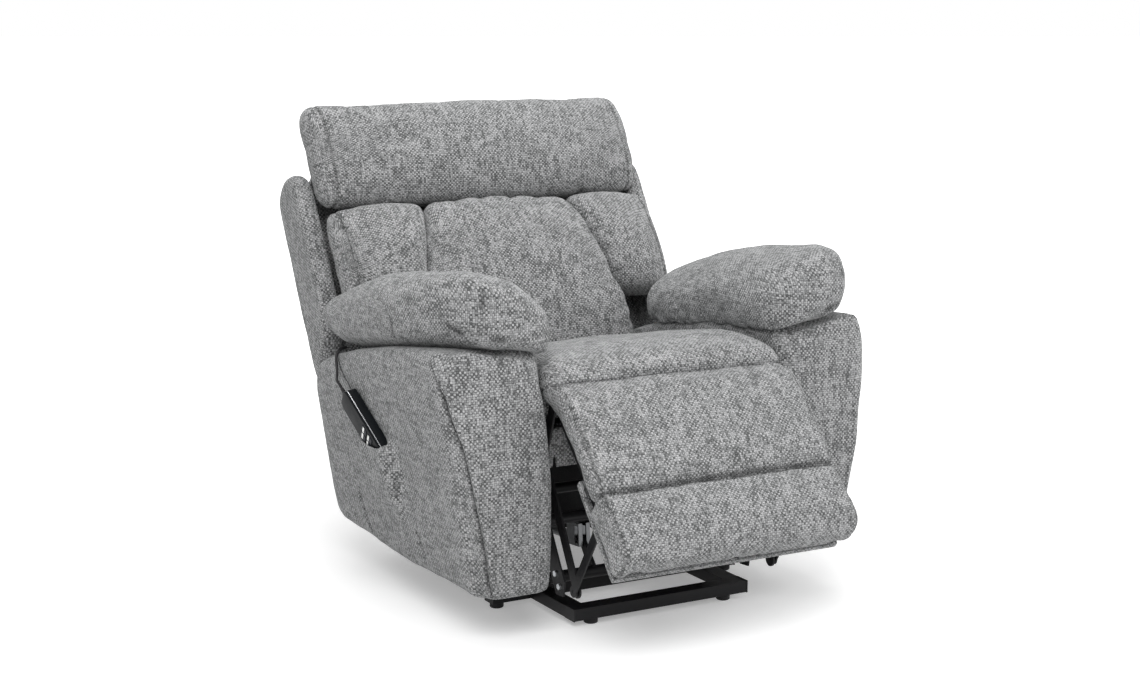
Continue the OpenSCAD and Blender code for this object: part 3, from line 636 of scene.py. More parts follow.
def make_wear_group():
    """Wear on edges: where the rounded normal leaves the true one, broken up by noise."""
    w, given, result = new_group(
        "edge_wear",
        [("Radius", "NodeSocketFloat", 0.002), ("Amount", "NodeSocketFloat", 0.5)],
        [("Mask", "NodeSocketFloat")],
    )
    rounded = w.node("ShaderNodeBevel", {"Radius": given.outputs["Radius"]}, samples=4)
    true = w.node("ShaderNodeNewGeometry").outputs["Normal"]
    dot = w.node("ShaderNodeVectorMath", {0: rounded.outputs[0], 1: true}, operation="DOT_PRODUCT")
    edge = w.math("MULTIPLY", w.less(1.0, dot.outputs["Value"]), 8.0, clamp=True)
    place = w.here()
    broken = w.scaled(w.noise(place, 160.0, 4.0, 0.7), 2.2, -0.6, clamp=True)
    w.feed(result.inputs["Mask"], w.times(w.times(edge, broken), given.outputs["Amount"]))


def new_material(name):
    material = bpy.data.materials.new(name)
    material.use_nodes = True
    tree = material.node_tree
    return Wiring(tree), tree.nodes["Principled BSDF"]


def place_group(w, name, inputs):
    return w.feed_all(w.node("ShaderNodeGroup", node_tree=bpy.data.node_groups[name]), inputs)


def make_chenille():
    """Grey chenille: short light and dark runs of thick yarn in a plain weave, with slubs along the warp, and
    painted shade in the gaps between threads and in seams.
    """
    cloth = settings("chenille")
    w, shader = new_material("grey_chenille")
    place = w.node("ShaderNodeAttribute", attribute_name="weave", attribute_type="GEOMETRY").outputs["Vector"]
    weave = place_group(w, "yarn_weave", {"Place": place, "Pitch": cloth.pitch})
    here = w.here()
    fleck = w.scaled(w.less(weave.outputs["Fleck"], 0.5), 0.66, 0.5)
    slub = w.less(weave.outputs["Slub"], 0.5)
    patch = w.less(w.noise(here, 30.0, 4.0, 0.65), 0.5)
    tone = w.add(fleck, w.add(w.times(slub, 0.42), w.times(patch, 0.5)))
    colour = w.ramp(tone, [(0.30, cloth.dark), (0.44, shade(cloth.middle, 0.8)), (0.54, shade(cloth.middle, 1.1)),
                           (0.70, cloth.light)])
    # Painted shade in the gaps between the threads: the yarn's colour is darker where the weave is low
    between = w.math("MINIMUM", w.scaled(weave.outputs["Height"], 1.3, 0.34), 1.0)
    # Painted shade in the seams' grooves darkens the cloth further
    seam = w.node("ShaderNodeAttribute", attribute_name="seam", attribute_type="GEOMETRY").outputs["Fac"]
    between = w.times(between, w.scaled(seam, -0.72, 1.0, clamp=True))
    shaded = w.mix(1.0, colour, between, kind="RGBA", blend="MULTIPLY")
    w.feed_all(shader, {
        "Base Color": shaded,
        "Roughness": w.scaled(weave.outputs["Height"], -0.12, 0.95),
        "Specular IOR Level": 0.18,
        "Sheen Weight": 0.25,
        "Sheen Roughness": 0.5,
        "Sheen Tint": (0.8, 0.82, 0.82, 1),
    })
    fuzz = w.noise(here, 900.0, 2.0, 0.6)
    height = w.add(weave.outputs["Height"], w.times(fuzz, 0.35))
    w.bump(shader, height, cloth.relief, 0.9)


def shade(colour, share):
    """A darker or lighter form of a colour."""
    return tuple(c * share for c in colour)


def make_coat(name, colour, roughness, grain, wear, worn_colour, dust=0.25, metallic=0.0, worn_metallic=None,
              shine=0.5):
    """A coated or moulded surface with a fine grain, worn edges and a little dust."""
    if worn_metallic is None:
        worn_metallic = metallic
    w, shader = new_material(name)
    here = w.here()
    worn = place_group(w, "edge_wear", {"Radius": 0.0015, "Amount": wear}).outputs["Mask"]
    dusty = place_group(w, "dust", {"Amount": dust, "Patch size": 0.05}).outputs["Mask"]
    cloud = w.noise(here, 35.0, 4.0, 0.6)
    base = w.mix(cloud, (*shade(colour, 0.8), 1), (*shade(colour, 1.25), 1), kind="RGBA")
    base = w.mix(worn, base, (*worn_colour, 1), kind="RGBA")
    base = w.mix(w.times(dusty, 0.35), base, (0.28, 0.27, 0.25, 1), kind="RGBA")
    w.feed(shader.inputs["Base Color"], base)
    shader.inputs["Specular IOR Level"].default_value = shine
    rough = w.scaled(cloud, 0.14, roughness - 0.07)
    w.feed(shader.inputs["Roughness"], w.math("ADD", rough, w.times(dusty, 0.25), clamp=True))
    even = worn_metallic == metallic
    w.feed(shader.inputs["Metallic"], metallic if even else w.mix(worn, metallic, worn_metallic))
    peel = w.noise(here, grain, 3.0, 0.5)
    w.bump(shader, peel, 0.0002, 0.5)


def make_timber():
    """Pale plywood and pine with long grain along its object's length."""
    w, shader = new_material("pale_timber")
    colour = settings("finish").timber
    here = w.here()
    stretched = w.vector("MULTIPLY", here, (60.0, 6.0, 60.0))
    grain = w.noise(stretched, 1.0, 6.0, 0.65)
    fine = w.noise(stretched, 9.0, 3.0, 0.6)
    tone = w.scaled(fine, 0.3, w.times(grain, 0.8))
    stops = [(0.3, shade(colour, 0.55)), (0.55, tuple(colour)), (0.8, shade(colour, 1.25))]
    w.feed_all(shader, {"Base Color": w.ramp(tone, stops), "Roughness": w.scaled(grain, 0.2, 0.6)})
    w.bump(shader, tone, 0.0003, 0.6)


def make_webbing():
    """Woven jute-like webbing: a coarse plain weave over both directions."""
    w, shader = new_material("woven_webbing")
    here = w.here()
    weave = place_group(w, "yarn_weave", {"Place": here, "Pitch": 0.003})
    stops = [(0.3, (0.03, 0.03, 0.035)), (0.6, (0.09, 0.09, 0.10)), (0.9, (0.16, 0.16, 0.17))]
    w.feed_all(shader, {"Base Color": w.ramp(weave.outputs["Fleck"], stops),
                        "Roughness": w.scaled(weave.outputs["Height"], -0.1, 0.9)})
    w.bump(shader, weave.outputs["Height"], 0.0006, 0.8)


def make_lining():
    """Thin dark grey lining cloth, as on the inside of the back and under the seat, where its darkness also stands
    in as painted shade.
    """
    w, shader = new_material("dust_cloth")
    here = w.here()
    fibre = w.noise(here, 480.0, 4.0, 0.7)
    fold = w.noise(here, 14.0, 3.0, 0.5)
    tone = w.scaled(fold, 0.4, w.times(fibre, 0.6))
    colour = w.ramp(tone, [(0.3, (0.028, 0.028, 0.029)), (0.7, (0.070, 0.071, 0.073))])
    w.feed_all(shader, {"Base Color": colour, "Roughness": w.scaled(fibre, 0.1, 0.88), "Specular IOR Level": 0.15})
    w.bump(shader, fibre, 0.0004, 0.6)


# Name, colour, roughness, grain, wear, worn colour and what else differs from the usual coat
PLAIN_COATS = (
    ("ground_rod", (0.16, 0.165, 0.17), 0.32, 1200.0, 0.1, (0.3,) * 3, {"metallic": 1.0}),
    ("handset_case", (0.004, 0.005, 0.006), 0.5, 2200.0, 0.1, (0.02,) * 3, {"dust": 0.0, "shine": 0.08}),
    ("key_cap", (0.006, 0.008, 0.012), 0.45, 2200.0, 0.1, (0.02,) * 3, {"dust": 0.0, "shine": 0.12}),
    ("silver_line", (0.72, 0.73, 0.75), 0.25, 1500.0, 0.1, (0.8,) * 3, {"metallic": 1.0}),
    # The white bars on the keys' faces
    ("white_mark", (0.85, 0.85, 0.84), 0.5, 1500.0, 0.1, (0.7,) * 3, {"dust": 0.05}),
    ("cable_sheath", (0.008, 0.008, 0.009), 0.45, 1800.0, 0.1, (0.04,) * 3, {"dust": 0.1, "shine": 0.3}),
)


class RECLINER_OT_materials(bpy.types.Operator):
    """Make the node groups and the materials of the chair"""

    bl_idname = "recliner.materials"
    bl_label = "Materials"

    def execute(self, context):
        finish = settings("finish")
        make_weave_group()
        make_dust_group()
        make_wear_group()
        make_chenille()
        make_timber()
        make_webbing()
        make_lining()
        make_coat("black_coat", finish.steel, 0.42, 700.0, 0.4, (0.05,) * 3, dust=0.1, worn_metallic=0.4, shine=0.22)
        make_coat("moulded_black", finish.plastic, 0.5, 1500.0, 0.3, (0.04,) * 3, dust=0.15, shine=0.25)
        make_coat("zinc_plate", finish.zinc, 0.34, 900.0, 0.3, (0.75, 0.76, 0.77), metallic=1.0)
        for *coat, rest in PLAIN_COATS:
            make_coat(*coat, **rest)
        return {"FINISHED"}


# ---- the CAD nodes that stay ----

STEEL_NODES = (
    "base_end_tubes", "base_side_tubes", "base_outrigger", "base_pivot_lugs", "rear_lift_links",
    "front_lift_links", "front_link_shaft", "mechanism_side_plates", "mechanism_cross_tubes",
    "chair_pivot_lugs", "back_hinge_brackets", "footrest_hinge_arms", "footrest_hinge_lugs",
    "footrest_brackets", "footrest_long_links", "footrest_drive_shaft", "footrest_couplers",
)
PLASTIC_NODES = ("tube_end_caps", "floor_feet", "control_box", "lift_motor", "recline_motor",
                 "strain_relief")
STAYING = {
    "black_coat": STEEL_NODES,
    "moulded_black": PLASTIC_NODES,
    "zinc_plate": ("base_pivot_bolts", "chair_pivot_bolts", "arm_bolts"),
    "ground_rod": ("lift_rod", "recline_rod"),
    "pale_timber": ("arm_frames", "arm_decks"),
    # The seat rails get the dark lining, also painted shade in the dark gap under the seat
    "dust_cloth": ("seat_side_rails", "seat_cross_rails"),
    "woven_webbing": ("seat_webbing",),
    "silver_line": ("handset_trim",),
}


class RECLINER_OT_frame_finishes(bpy.types.Operator):
    """Give the frame, the mechanism and the fixings their finishes"""

    bl_idname = "recliner.frame_finishes"
    bl_label = "Frame finishes"

    def execute(self, context):
        for material, nodes in STAYING.items():
            for node in nodes:
                slots = NODE[node].material_slots
                for slot in slots:
                    slot.material = bpy.data.materials[material]
                if not slots:
                    NODE[node].data.materials.append(bpy.data.materials[material])
        return {"FINISHED"}


# ---- seat ----

# The seat cover's outline in the side view, with the nose that rolls over the front rail
SEAT_OUTLINE = ((-35, 516), (-34, 529), (-17, 544), (12, 556), (60, 560), (160, 553), (300, 529), (430, 504),
                (494, 488), (503, 462), (494, 436), (420, 426), (200, 424), (70, 426), (42, 440), (36, 470),
                (33, 494), (20, 506), (0, 503), (-20, 504))
# How much wider the seat's form is at each side than the cushion, its rounded edge and its crown
SEAT_SPREAD, SEAT_EDGE, SEAT_CROWN = 3, 30, 5


def curved(before, start, end, after, t):
    """The point at this share of the way from start to end, on a smooth curve through all four."""
    return 0.5 * (2 * start + (end - before) * t + (2 * before - 5 * start + 4 * end - after) * t * t
                  + (3 * start - before - 3 * end + after) * t ** 3)


def smooth_outline(points, steps):
    """A closed smooth curve through the points, with this many steps from one to the next."""
    p = np.array(points, float)
    before, after, far = np.roll(p, 1, 0), np.roll(p, -1, 0), np.roll(p, -2, 0)
    rows = [curved(before, p, after, far, t) for t in np.arange(steps) / steps]
    return np.stack(rows, axis=1).reshape(-1, 2)


def loft(name, rings):
    """A closed solid through rings of points, with a fan at each end."""
    rings = np.array(rings)
    count, size = rings.shape[:2]
    points = [tuple(p) for ring in rings for p in ring]
    points += [tuple(rings[0].mean(axis=0)), tuple(rings[-1].mean(axis=0))]
    faces = []
    for i in range(count - 1):
        for j in range(size):
            k = (j + 1) % size
            faces.append((i * size + j, i * size + k, (i + 1) * size + k, (i + 1) * size + j))
    last = (count - 1) * size
    for j in range(size):
        k = (j + 1) % size
        faces.append((count * size, k, j))
        faces.append((count * size + 1, last + j, last + k))
    piece = new_piece(name, points, faces)
    select_only(piece)
    bpy.ops.object.mode_set(mode="EDIT")
    bpy.ops.mesh.select_all(action="SELECT")
    bpy.ops.mesh.normals_make_consistent(inside=False)
    bpy.ops.object.mode_set(mode="OBJECT")
    return piece


# Where a roll's rings stand: round its edge in degrees, and between its edges as shares of its half width
EDGE_TURNS = (90, 68, 45, 22, 0)
BETWEEN_EDGES = (-0.66, -0.33, 0, 0.33, 0.66)


def roll_rings(outline, half, radius, crown=0.0):
    """Rings of an outline across a roll, drawn in at its rounded ends, as (place across, ring)."""
    centre = (outline.min(axis=0) + outline.max(axis=0)) / 2
    reach = (outline.max(axis=0) - outline.min(axis=0)) / 2
    stations = [(-half + radius * (1 - math.sin(math.radians(a))), crown + radius * (1 - math.cos(math.radians(a))))
                for a in EDGE_TURNS]
    stations += [(t * (half - radius), crown * t * t) for t in BETWEEN_EDGES]
    stations += [(-x, d) for x, d in stations[4::-1]]
    return [(x, centre + (outline - centre) * (1 - d / reach)) for x, d in stations]


class RECLINER_OT_seat(bpy.types.Operator):
    """Make the seat cushion's cover with its front roll, and the covered board under it"""

    bl_idname = "recliner.seat"
    bl_label = "Seat"

    def execute(self, context):
        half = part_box("seat_cushion")[1].x / MM + SEAT_SPREAD
        outline = smooth_outline(SEAT_OUTLINE, 3)
        rings = [[at(x, *q) for q in ring] for x, ring in roll_rings(outline, half, SEAT_EDGE, SEAT_CROWN)]
        seat = padded_form(loft("seat_cushion_cover", rings), voxel=0.0065, cap=0.022)
        dips = lambda p, n: np.clip(n[:, 2], 0, 1)
        pucker(seat, 0.010, 0.16, 4, (1, 0.6, 1), dips)
        pucker(seat, 0.002, 0.045, 9, (1, 0.5, 1), dips)
        roll_weave(seat)
        in_chenille(seat, "seat_cushion")

        valance = thin_cover("front_valance", "front_valance_cover", 0.0022, 6)
        flat_weave(valance)
        in_chenille(valance, "front_valance")
        return {"FINISHED"}


# ---- back ----

# The width of the gussets at the ends of the headrest and the wings, and their seams' width and depth in metres
HEAD_GUSSET = 36
WING_GUSSET = 24
GUSSET_SEAM = (0.004, 0.0035)
# How much the headrest's ends stand higher than its middle
HEAD_RISE = 11
# How much thicker the covers of the back's side panels are than their boards
EAR_DEPTH = 1.4


class RECLINER_OT_back(bpy.types.Operator):
    """Make the headrest roll, the middle back cushion and the two wing pillows"""

    bl_idname = "recliner.back"
    bl_label = "Back cushions"

    def execute(self, context):
        head = padded_form(merged_copy("headrest_roll", "headrest_cover"), voxel=0.0065)
        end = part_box("headrest_roll")[1].x - HEAD_GUSSET * MM
        fill_box(head, "headrest_roll")
        points = points_of(head)
        points[:, 2] += HEAD_RISE * MM * (points[:, 0] / np.abs(points[:, 0]).max()) ** 2
        move_points(head, points)
        sew(head, lambda p, n: np.abs(p[:, 0]) - end, *GUSSET_SEAM)
        pucker(head, 0.0035, 0.14, 2, (0.5, 1, 1))
        pucker(head, 0.0012, 0.04, 5)
        self.dress(head, "headrest_roll", 0.75)

        middle = padded_form(merged_copy("back_cushion", "back_cushion_cover"))
        fill_box(middle, "back_cushion")
        pucker(middle, 0.006, 0.16, 7, (0.6, 1, 1))
        pucker(middle, 0.0018, 0.05, 8, (0.5, 1, 1))
        self.dress(middle, "back_cushion", 0.6)

        for side in ("left", "right"):
            wing = padded_form(merged_copy("back_wing_" + side, f"back_wing_{side}_cover"))
            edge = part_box("back_wing_right")[1].x - WING_GUSSET * MM
            fill_box(wing, "back_wing_" + side)
            sew(wing, lambda p, n: np.abs(p[:, 0]) - edge, *GUSSET_SEAM)
            pucker(wing, 0.003, 0.12, 11 if side == "left" else 12, (1, 0.6, 0.6))
            self.dress(wing, "back_wing_" + side, 0.65)
        return {"FINISHED"}

    def dress(self, piece, node, fill):
        roll_weave(piece, lean=BACK_LEAN)
        in_chenille(piece, node)


class RECLINER_OT_back_shell(bpy.types.Operator):
    """Make the covered rear panel and the side panels of the back"""

    bl_idname = "recliner.back_shell"
    bl_label = "Back shell"

    def execute(self, context):
        for node, seed in (("back_rear_panel", 21), ("back_side_panels", 22)):
            panel = padded_form(merged_copy(node, node + "_cover"), voxel=0.007, cap=0, relax=8)
            if node == "back_side_panels":
                points = points_of(panel)
                outside = np.abs(points[:, 0]).max()
                points[:, 0] = np.sign(points[:, 0]) * (outside - (outside - np.abs(points[:, 0])) * EAR_DEPTH)
                move_points(panel, points)
            pucker(panel, 0.003, 0.15, seed, (1, 0.5, 0.5))
            pucker(panel, 0.0012, 0.045, seed + 4)
            flat_weave(panel, BACK_LEAN)
            in_chenille(panel, node)
        frame_cover = merged_copy("back_frame", "back_frame_cover")
        soften(frame_cover, 0.002)
        flat_weave(frame_cover, BACK_LEAN)
        in_chenille(frame_cover, "back_frame")

        lower = merged_copy("lower_rear_panel", "lower_rear_cover")
        soften(lower, 0.0015)
        flat_weave(lower)
        in_chenille(lower, "lower_rear_panel")
        # The faces looking forward, into the chair's inside, get the dark lining, which is also painted shade there
        lower.data.materials.append(bpy.data.materials["dust_cloth"])
        for face in lower.data.polygons:
            face.material_index = 1 if face.normal.y < -0.5 else 0
        return {"FINISHED"}


# ---- arms ----

# The arm in the side view, [y, z], and its outer edge, [height, half width]
ARM_SIDE = ((-4, 97), (120, 97), (291, 91), (440, 93), (560, 101), (660, 106), (688, 117), (697, 165), (698, 264),
            (698, 355), (694, 405), (680, 440), (648, 474), (600, 494), (545, 512), (440, 536), (288, 566),
            (109, 588), (30, 592), (4, 560), (-4, 470), (-6, 330), (-6, 200))
ARM_FLARE = ((90, 428), (125, 434), (200, 446), (330, 466), (472, 490), (540, 495), (600, 494))
# The arm's sections from the seat outwards: [drawn in by, offset from the flared edge or None, place across]
ARM_INSIDE = ((60, 284), (10, 285), (5, 288), (2, 296), (0, 310))
ARM_OUTSIDE = ((0, -38), (0, 2), (3, 8), (12, 13), (40, 16), (110, 18), (238, 18))

# The handset pocket: [outer half width, height, front end, back end], its inner face and its mouth
POCKET = ((519, 357, 276, 392), (520, 348, 268, 392), (513, 292, 256, 386), (492, 232, 262, 376),
          (464, 180, 290, 350))
POCKET_INSIDE = 462
MOUTH = (-503.5, 348, 366.5)
# The slot that the handset slides in, in the handset's own axes from the mouth
SLOT_ALONG = (-73, 217)
SLOT_SECTION = ((-15, -29), (15, -29), (15, 29), (-15, 29))
HANDSET_OUT, HANDSET_LEAN = 12, 51
# Closes the narrow gap behind the front panel's top corner
GAP_CLOSED = 8 * MM
# Where the front panel's top is smoothed: above this height, ahead of this place, this far inside the flare
EASED_ABOVE, EASED_AHEAD, EASED_INSET = 540, 75, 30
# The seam between an arm's side and its front, [height, place along], and pleats in the side, [along, height]
FRONT_SEAM = ((90, -33), (126, -37), (204, -41), (261, -39), (336, -36), (412, -24), (480, -3), (509, 4), (557, 30),
              (571, 48), (600, 84))
SEAM_TOP, SEAM_FADE, SEAM_INSET = 580, 14, 24
GROOVE_DEPTH, GROOVE_WIDTH = 7, 4.5
RIDGE_HEIGHT, RIDGE_WIDTH, RIDGE_PLACE = 3.5, 7, 9
# A point is on an arm's side where its normal lies across the chair by more than this, and others count as this far
SIDE_FACING, FAR = 0.6, 99
SIDE_PLEATS = (((518, 197), (504, 150), (488, 105)), ((228, 178), (218, 155), (209, 134)))


def drawn_in(outline, distance):
    """An outline scaled about its middle so that its box is smaller by this distance on each side."""
    lo, hi = outline.min(axis=0), outline.max(axis=0)
    middle, half = (lo + hi) / 2, (hi - lo) / 2
    return middle + (outline - middle) * (1 - distance / half)


def flare(height):
    return np.interp(height, *np.array(ARM_FLARE, float).T)


def handset_axes():
    """The handset's own axes in the chair's: through it, across its face, and out of the pocket."""
    out, lean = math.radians(-HANDSET_OUT), math.radians(-HANDSET_LEAN)
    return Matrix.Rotation(out, 3, "Y") @ Matrix.Rotation(lean, 3, "X")


class RECLINER_OT_arms(bpy.types.Operator):
    """Make the sewn covers of the arms, with the handset's pocket in the one that carries it"""

    bl_idname = "recliner.arms"
    bl_label = "Arm covers"

    def execute(self, context):
        for side, name in ((-1, "left"), (1, "right")):
            cover = self.arm_form(side, f"arm_cover_{name}")
            remesh(cover, 0.007)
            ease(cover, 4)
            self.ease_top(cover)
            modify(cover, "SUBSURF", levels=1, render_levels=1)
            self.seams(cover)
            self.folds(cover, side)
            smooth_shaded(cover)
            flat_weave(cover)
            nodes = ["arm_side_panel_" + name, "arm_front_panels", "arm_inner_panels"]
            in_chenille(cover, nodes[0], nodes)
        return {"FINISHED"}

    def ease_top(self, cover):
        """Smooths the step where the front panel's top meets the arm."""
        place = in_mm(points_of(cover))
        group = cover.vertex_groups.new(name="front_top")
        inside = np.abs(place[:, 0]) < flare(place[:, 2]) - EASED_INSET
        eased = (place[:, 2] > EASED_ABOVE) & (place[:, 1] < EASED_AHEAD) & inside
        group.add(np.flatnonzero(eased).tolist(), 1.0, "REPLACE")
        ease(cover, 16, vertex_group=group.name)
        cover.vertex_groups.clear()

    def arm_form(self, side, name):
        """The arm's closed form: its lofted body, its front panel, and the pocket on the left."""
        outline = np.array(ARM_SIDE, float)
        rings = []
        for distance, x in ARM_INSIDE:
            rings.append([at(side * x, *q) for q in drawn_in(outline, distance)])
        for distance, offset in ARM_OUTSIDE:
            rings.append([at(side * (flare(q[1]) + offset), *q) for q in drawn_in(outline, distance)])
        body = loft(name, rings)
        front = merged_copy("arm_front_panels", "arm_front_half")
        edit_mesh(front, lambda work: bmesh.ops.delete(
            work, geom=[v for v in work.verts if v.co.x * side < 0], context="VERTS"))
        parts = [body, front]
        if side < 0:
            parts.append(self.pocket())
        select_only(*parts)
        bpy.ops.object.join()
        remesh(body, 0.004)
        for push in (GAP_CLOSED, -GAP_CLOSED):
            modify(body, "DISPLACE", strength=push, mid_level=0)
            remesh(body, 0.004)
        if side < 0:
            self.cut_slot(body)
        return body

    def pocket(self):
        corners = []
        for x, z, front, back in POCKET:
            for y in (front, back):
                corners += [at(-x, y, z), at(-POCKET_INSIDE, y, z)]
        pouch = new_piece("pocket_form", corners, [])
        return edit_mesh(pouch, lambda work: bmesh.ops.convex_hull(work, input=work.verts))

    def cut_slot(self, body):
        turn = handset_axes()
        middle = at(*MOUTH)
        corners = [middle + turn @ (Vector(c) * MM) for c in
                   [(x, y, z) for z in SLOT_ALONG for x, y in SLOT_SECTION]]
        cut_away(body, box_piece("slot_form", corners))

    def seams(self, cover):
        """The seam where the side meets the front panel, whose edge stands a little proud, and two side pleats;
        painted shade darkens their grooves.
        """
        points, normals = points_of(cover), normals_of(cover)
        place = in_mm(points)
        ahead = np.interp(place[:, 2], *np.array(FRONT_SEAM, float).T) - place[:, 1]
        outside = np.abs(place[:, 0]) > flare(place[:, 2]) - SEAM_INSET
        groove = GROOVE_DEPTH * np.exp(-(ahead / GROOVE_WIDTH) ** 2)
        ridge = RIDGE_HEIGHT * np.exp(-((ahead - RIDGE_PLACE) / RIDGE_WIDTH) ** 2)
        outside = outside * np.clip((SEAM_TOP - place[:, 2]) / SEAM_FADE, 0, 1)
        move_points(cover, points + normals * ((ridge - groove) * outside * MM)[:, None])
        # Painted shade along the seam's groove
        paint_seam_shade(cover, groove / GROOVE_DEPTH * outside)
        for line in SIDE_PLEATS:
            side = lambda p, n: np.where(np.abs(n[:, 0]) > SIDE_FACING, from_line(in_mm(p)[:, 1:], line), FAR) * MM
            sew(cover, side, 0.007, 0.0035)

    def folds(self, cover, side):
        pucker(cover, 0.0030, 0.15, 31 + side, (1, 1, 0.5))
        pucker(cover, 0.0012, 0.045, 35 + side, (1, 1, 0.5))


PILLOW_CREASES = (((421, -14, 713), (430, -26, 689)), ((474, 39, 643), (456, 17, 626)),
                  ((510, 222, 627), (498, 239, 596)), ((380, -34, 610), (430, -20, 640)))


class RECLINER_OT_pillows(bpy.types.Operator):
    """Make the pillow tops of the arms"""

    bl_idname = "recliner.pillows"
    bl_label = "Arm pillows"

    def execute(self, context):
        for side in ("left", "right"):
            node = "arm_pillow_" + side
            pillow = padded_form(merged_copy(node, node + "_cover"), voxel=0.006)
            fill_box(pillow, node)
            turn = -1 if side == "left" else 1
            for line in PILLOW_CREASES:
                crease(pillow, [(turn * x, y, z) for x, y, z in line], 8, 5)
            pucker(pillow, 0.006, 0.12, 41 if side == "left" else 42, (1, 0.6, 1))
            pucker(pillow, 0.0018, 0.04, 43, (1, 0.7, 1))
            roll_weave(pillow, axis=1)
            in_chenille(pillow, node)
        return {"FINISHED"}


# ---- footrest ----

# The pads' outlines from the footrest's hinge, [along the pad, out of its face]; their facing ends press together
UPPER_PAD = ((0, 29), (16, 42), (36, 53), (70, 57), (115, 58), (185, 51), (230, 44), (258, 34), (270, 18), (268, -4),
             (244, -12), (180, -8), (100, -6), (40, -8), (4, -20), (-16, -21), (-28, -4), (-22, 18))
LOWER_PAD = ((247, 14), (251, 28), (267, 39), (305, 43), (350, 41), (388, 33), (406, 16), (412, -12), (409, -40),
             (399, -52), (340, -46), (280, -38), (256, -28), (248, -6))
PAD_EDGE = 8
PAD_SEAM_INSET = 10
PADS_MEET = 258
HINGE_SLOT = ((-50, 17), (66, 17), (66, -50), (-50, -50))
HINGE_SLOT_ACROSS = (248, 263)
HINGE_HEIGHT = 490


def on_footrest(x, along, out):
    """A point of the footrest at rest: across it, down along its pads and out of their face."""
    sine, cosine = math.sin(PAD_LEAN), math.cos(PAD_LEAN)
    return at(x, -along * sine - out * cosine, HINGE_HEIGHT - along * cosine + out * sine)


def along_footrest(place):
    """How far down the footrest each place lies from its hinge."""
    return -place[:, 1] * math.sin(PAD_LEAN) - (place[:, 2] - HINGE_HEIGHT) * math.cos(PAD_LEAN)


class RECLINER_OT_footrest(bpy.types.Operator):
    """Make the two leg pads and the covered board behind them"""

    bl_idname = "recliner.footrest"
    bl_label = "Footrest"

    def execute(self, context):
        for node, outline, seed in (("upper_leg_pad", UPPER_PAD, 51), ("lower_leg_pad", LOWER_PAD, 52)):
            pad = padded_form(self.pad_form(node, outline), voxel=0.006, cap=0.014, relax=3)
            fill_box(pad, node, keep=(1, 2))
            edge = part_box(node)[1].x - PAD_SEAM_INSET * MM
            sew(pad, lambda p, n: np.abs(p[:, 0]) - edge, 0.0035, 0.003)
            sew(pad, lambda p, n: (along_footrest(in_mm(p)) - PADS_MEET) * MM, 0.005, 0.0035)
            pucker(pad, 0.0035, 0.14, seed, (1, 0.5, 0.5))
            pucker(pad, 0.0012, 0.04, seed + 2)
            roll_weave(pad, lean=-PAD_LEAN)
            in_chenille(pad, node)

        board = thin_cover("footrest_board", "footrest_board_cover", 0.004, 5)
        roll_weave(board, lean=-PAD_LEAN)
        in_chenille(board, "footrest_board")
        return {"FINISHED"}

    def pad_form(self, node, outline):
        """A boxed pad, with the slots in the upper one that its hinge lugs and arms need."""
        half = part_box(node)[1].x / MM
        rings = [[on_footrest(x, *q) for q in ring]
                 for x, ring in roll_rings(smooth_outline(outline, 2), half, PAD_EDGE, 2)]
        pad = loft(node + "_cover", rings)
        if node == "upper_leg_pad":
            for side in (-1, 1):
                rings = [[on_footrest(side * x, *q) for q in HINGE_SLOT] for x in HINGE_SLOT_ACROSS]
                cut_away(pad, loft("hinge_slot", rings))
        return pad


# ---- handset ----

BUTTONS = {"button_up": "key_up", "button_down": "key_down", "button_lift": "key_lift", "button_lower": "key_lower"}

# The white bar on each key, and where it lies on the handset's face, [across, along]
KEY_BAR_DEPTH = (-14.75, -14.2)
KEY_BAR_SECTION = ((-7.8, -3), (7.8, -3), (7.8, 3), (-7.8, 3))
KEY_BAR_PLACE = {"button_up": (-10, 14), "button_down": (10, 14), "button_lift": (-10, -9), "button_lower": (10, -9)}


class RECLINER_OT_handset(bpy.types.Operator):
    """Make the handset's body and keys with softened edges"""

    bl_idname = "recliner.handset"
    bl_label = "Handset"

    def execute(self, context):
        body = merged_copy("handset_body", "handset_shell")
        soften(body, 0.0012)
        finish_piece(body, "handset_body", "handset_case", ["handset_body"])
        for node in BUTTONS:
            key = merged_copy(node, node + "_cap")
            soften(key, 0.0009)
            finish_piece(key, node, "key_cap", [node])
            self.mark(node)
        return {"FINISHED"}

    def mark(self, node):
        """A white bar across a key's face."""
        turn, middle = handset_axes(), at(*MOUTH)
        across, along = KEY_BAR_PLACE[node]
        corners = [middle + turn @ (Vector((x, across + y, along + z)) * MM)
                   for x in KEY_BAR_DEPTH for y, z in KEY_BAR_SECTION]
        bar = box_piece(node + "_mark", corners)
        modify(bar, "BEVEL", width=0.0002, segments=2)
        finish_piece(bar, node, "white_mark")


# ---- cords ----

# Routes from the gap under the arm pillow to the handset, in millimetres
CORD_ROUTE = ((-480, 535, 523), (-490, 530, 522.5), (-499.6, 525, 521), (-507, 521, 514.8), (-510.4, 518, 504.4),
              (-511.5, 515, 494), (-512, 511, 484), (-513.5, 507, 475.5), (-516.5, 501, 469.5), (-520.5, 493, 466),
              (-523, 485.5, 463.5), (-523.5, 479, 460), (-522.1, 471.2, 454), (-520.8, 463.7, 448.1))
TETHER_ROUTE = ((-476, 527, 523.5), (-488, 524, 523.5), (-500.4, 520, 521), (-507.6, 514, 511.5),
                (-509, 506, 498.8), (-509.4, 496, 487.3), (-509.7, 483, 477.3), (-511, 467, 468.5),
                (-512.3, 453, 464), (-513.8, 443, 461), (-514.6, 436, 457.5), (-513.7, 429.5, 452.8))


def smooth_route(points, steps):
    """An open smooth curve through the points."""
    p = np.array(points, float)
    padded = np.vstack([2 * p[0] - p[1], p, 2 * p[-1] - p[-2]])
    rows = [curved(*padded[k:k + 4], t) for k in range(len(padded) - 3) for t in np.arange(steps) / steps]
    return np.array(rows + [p[-1]])


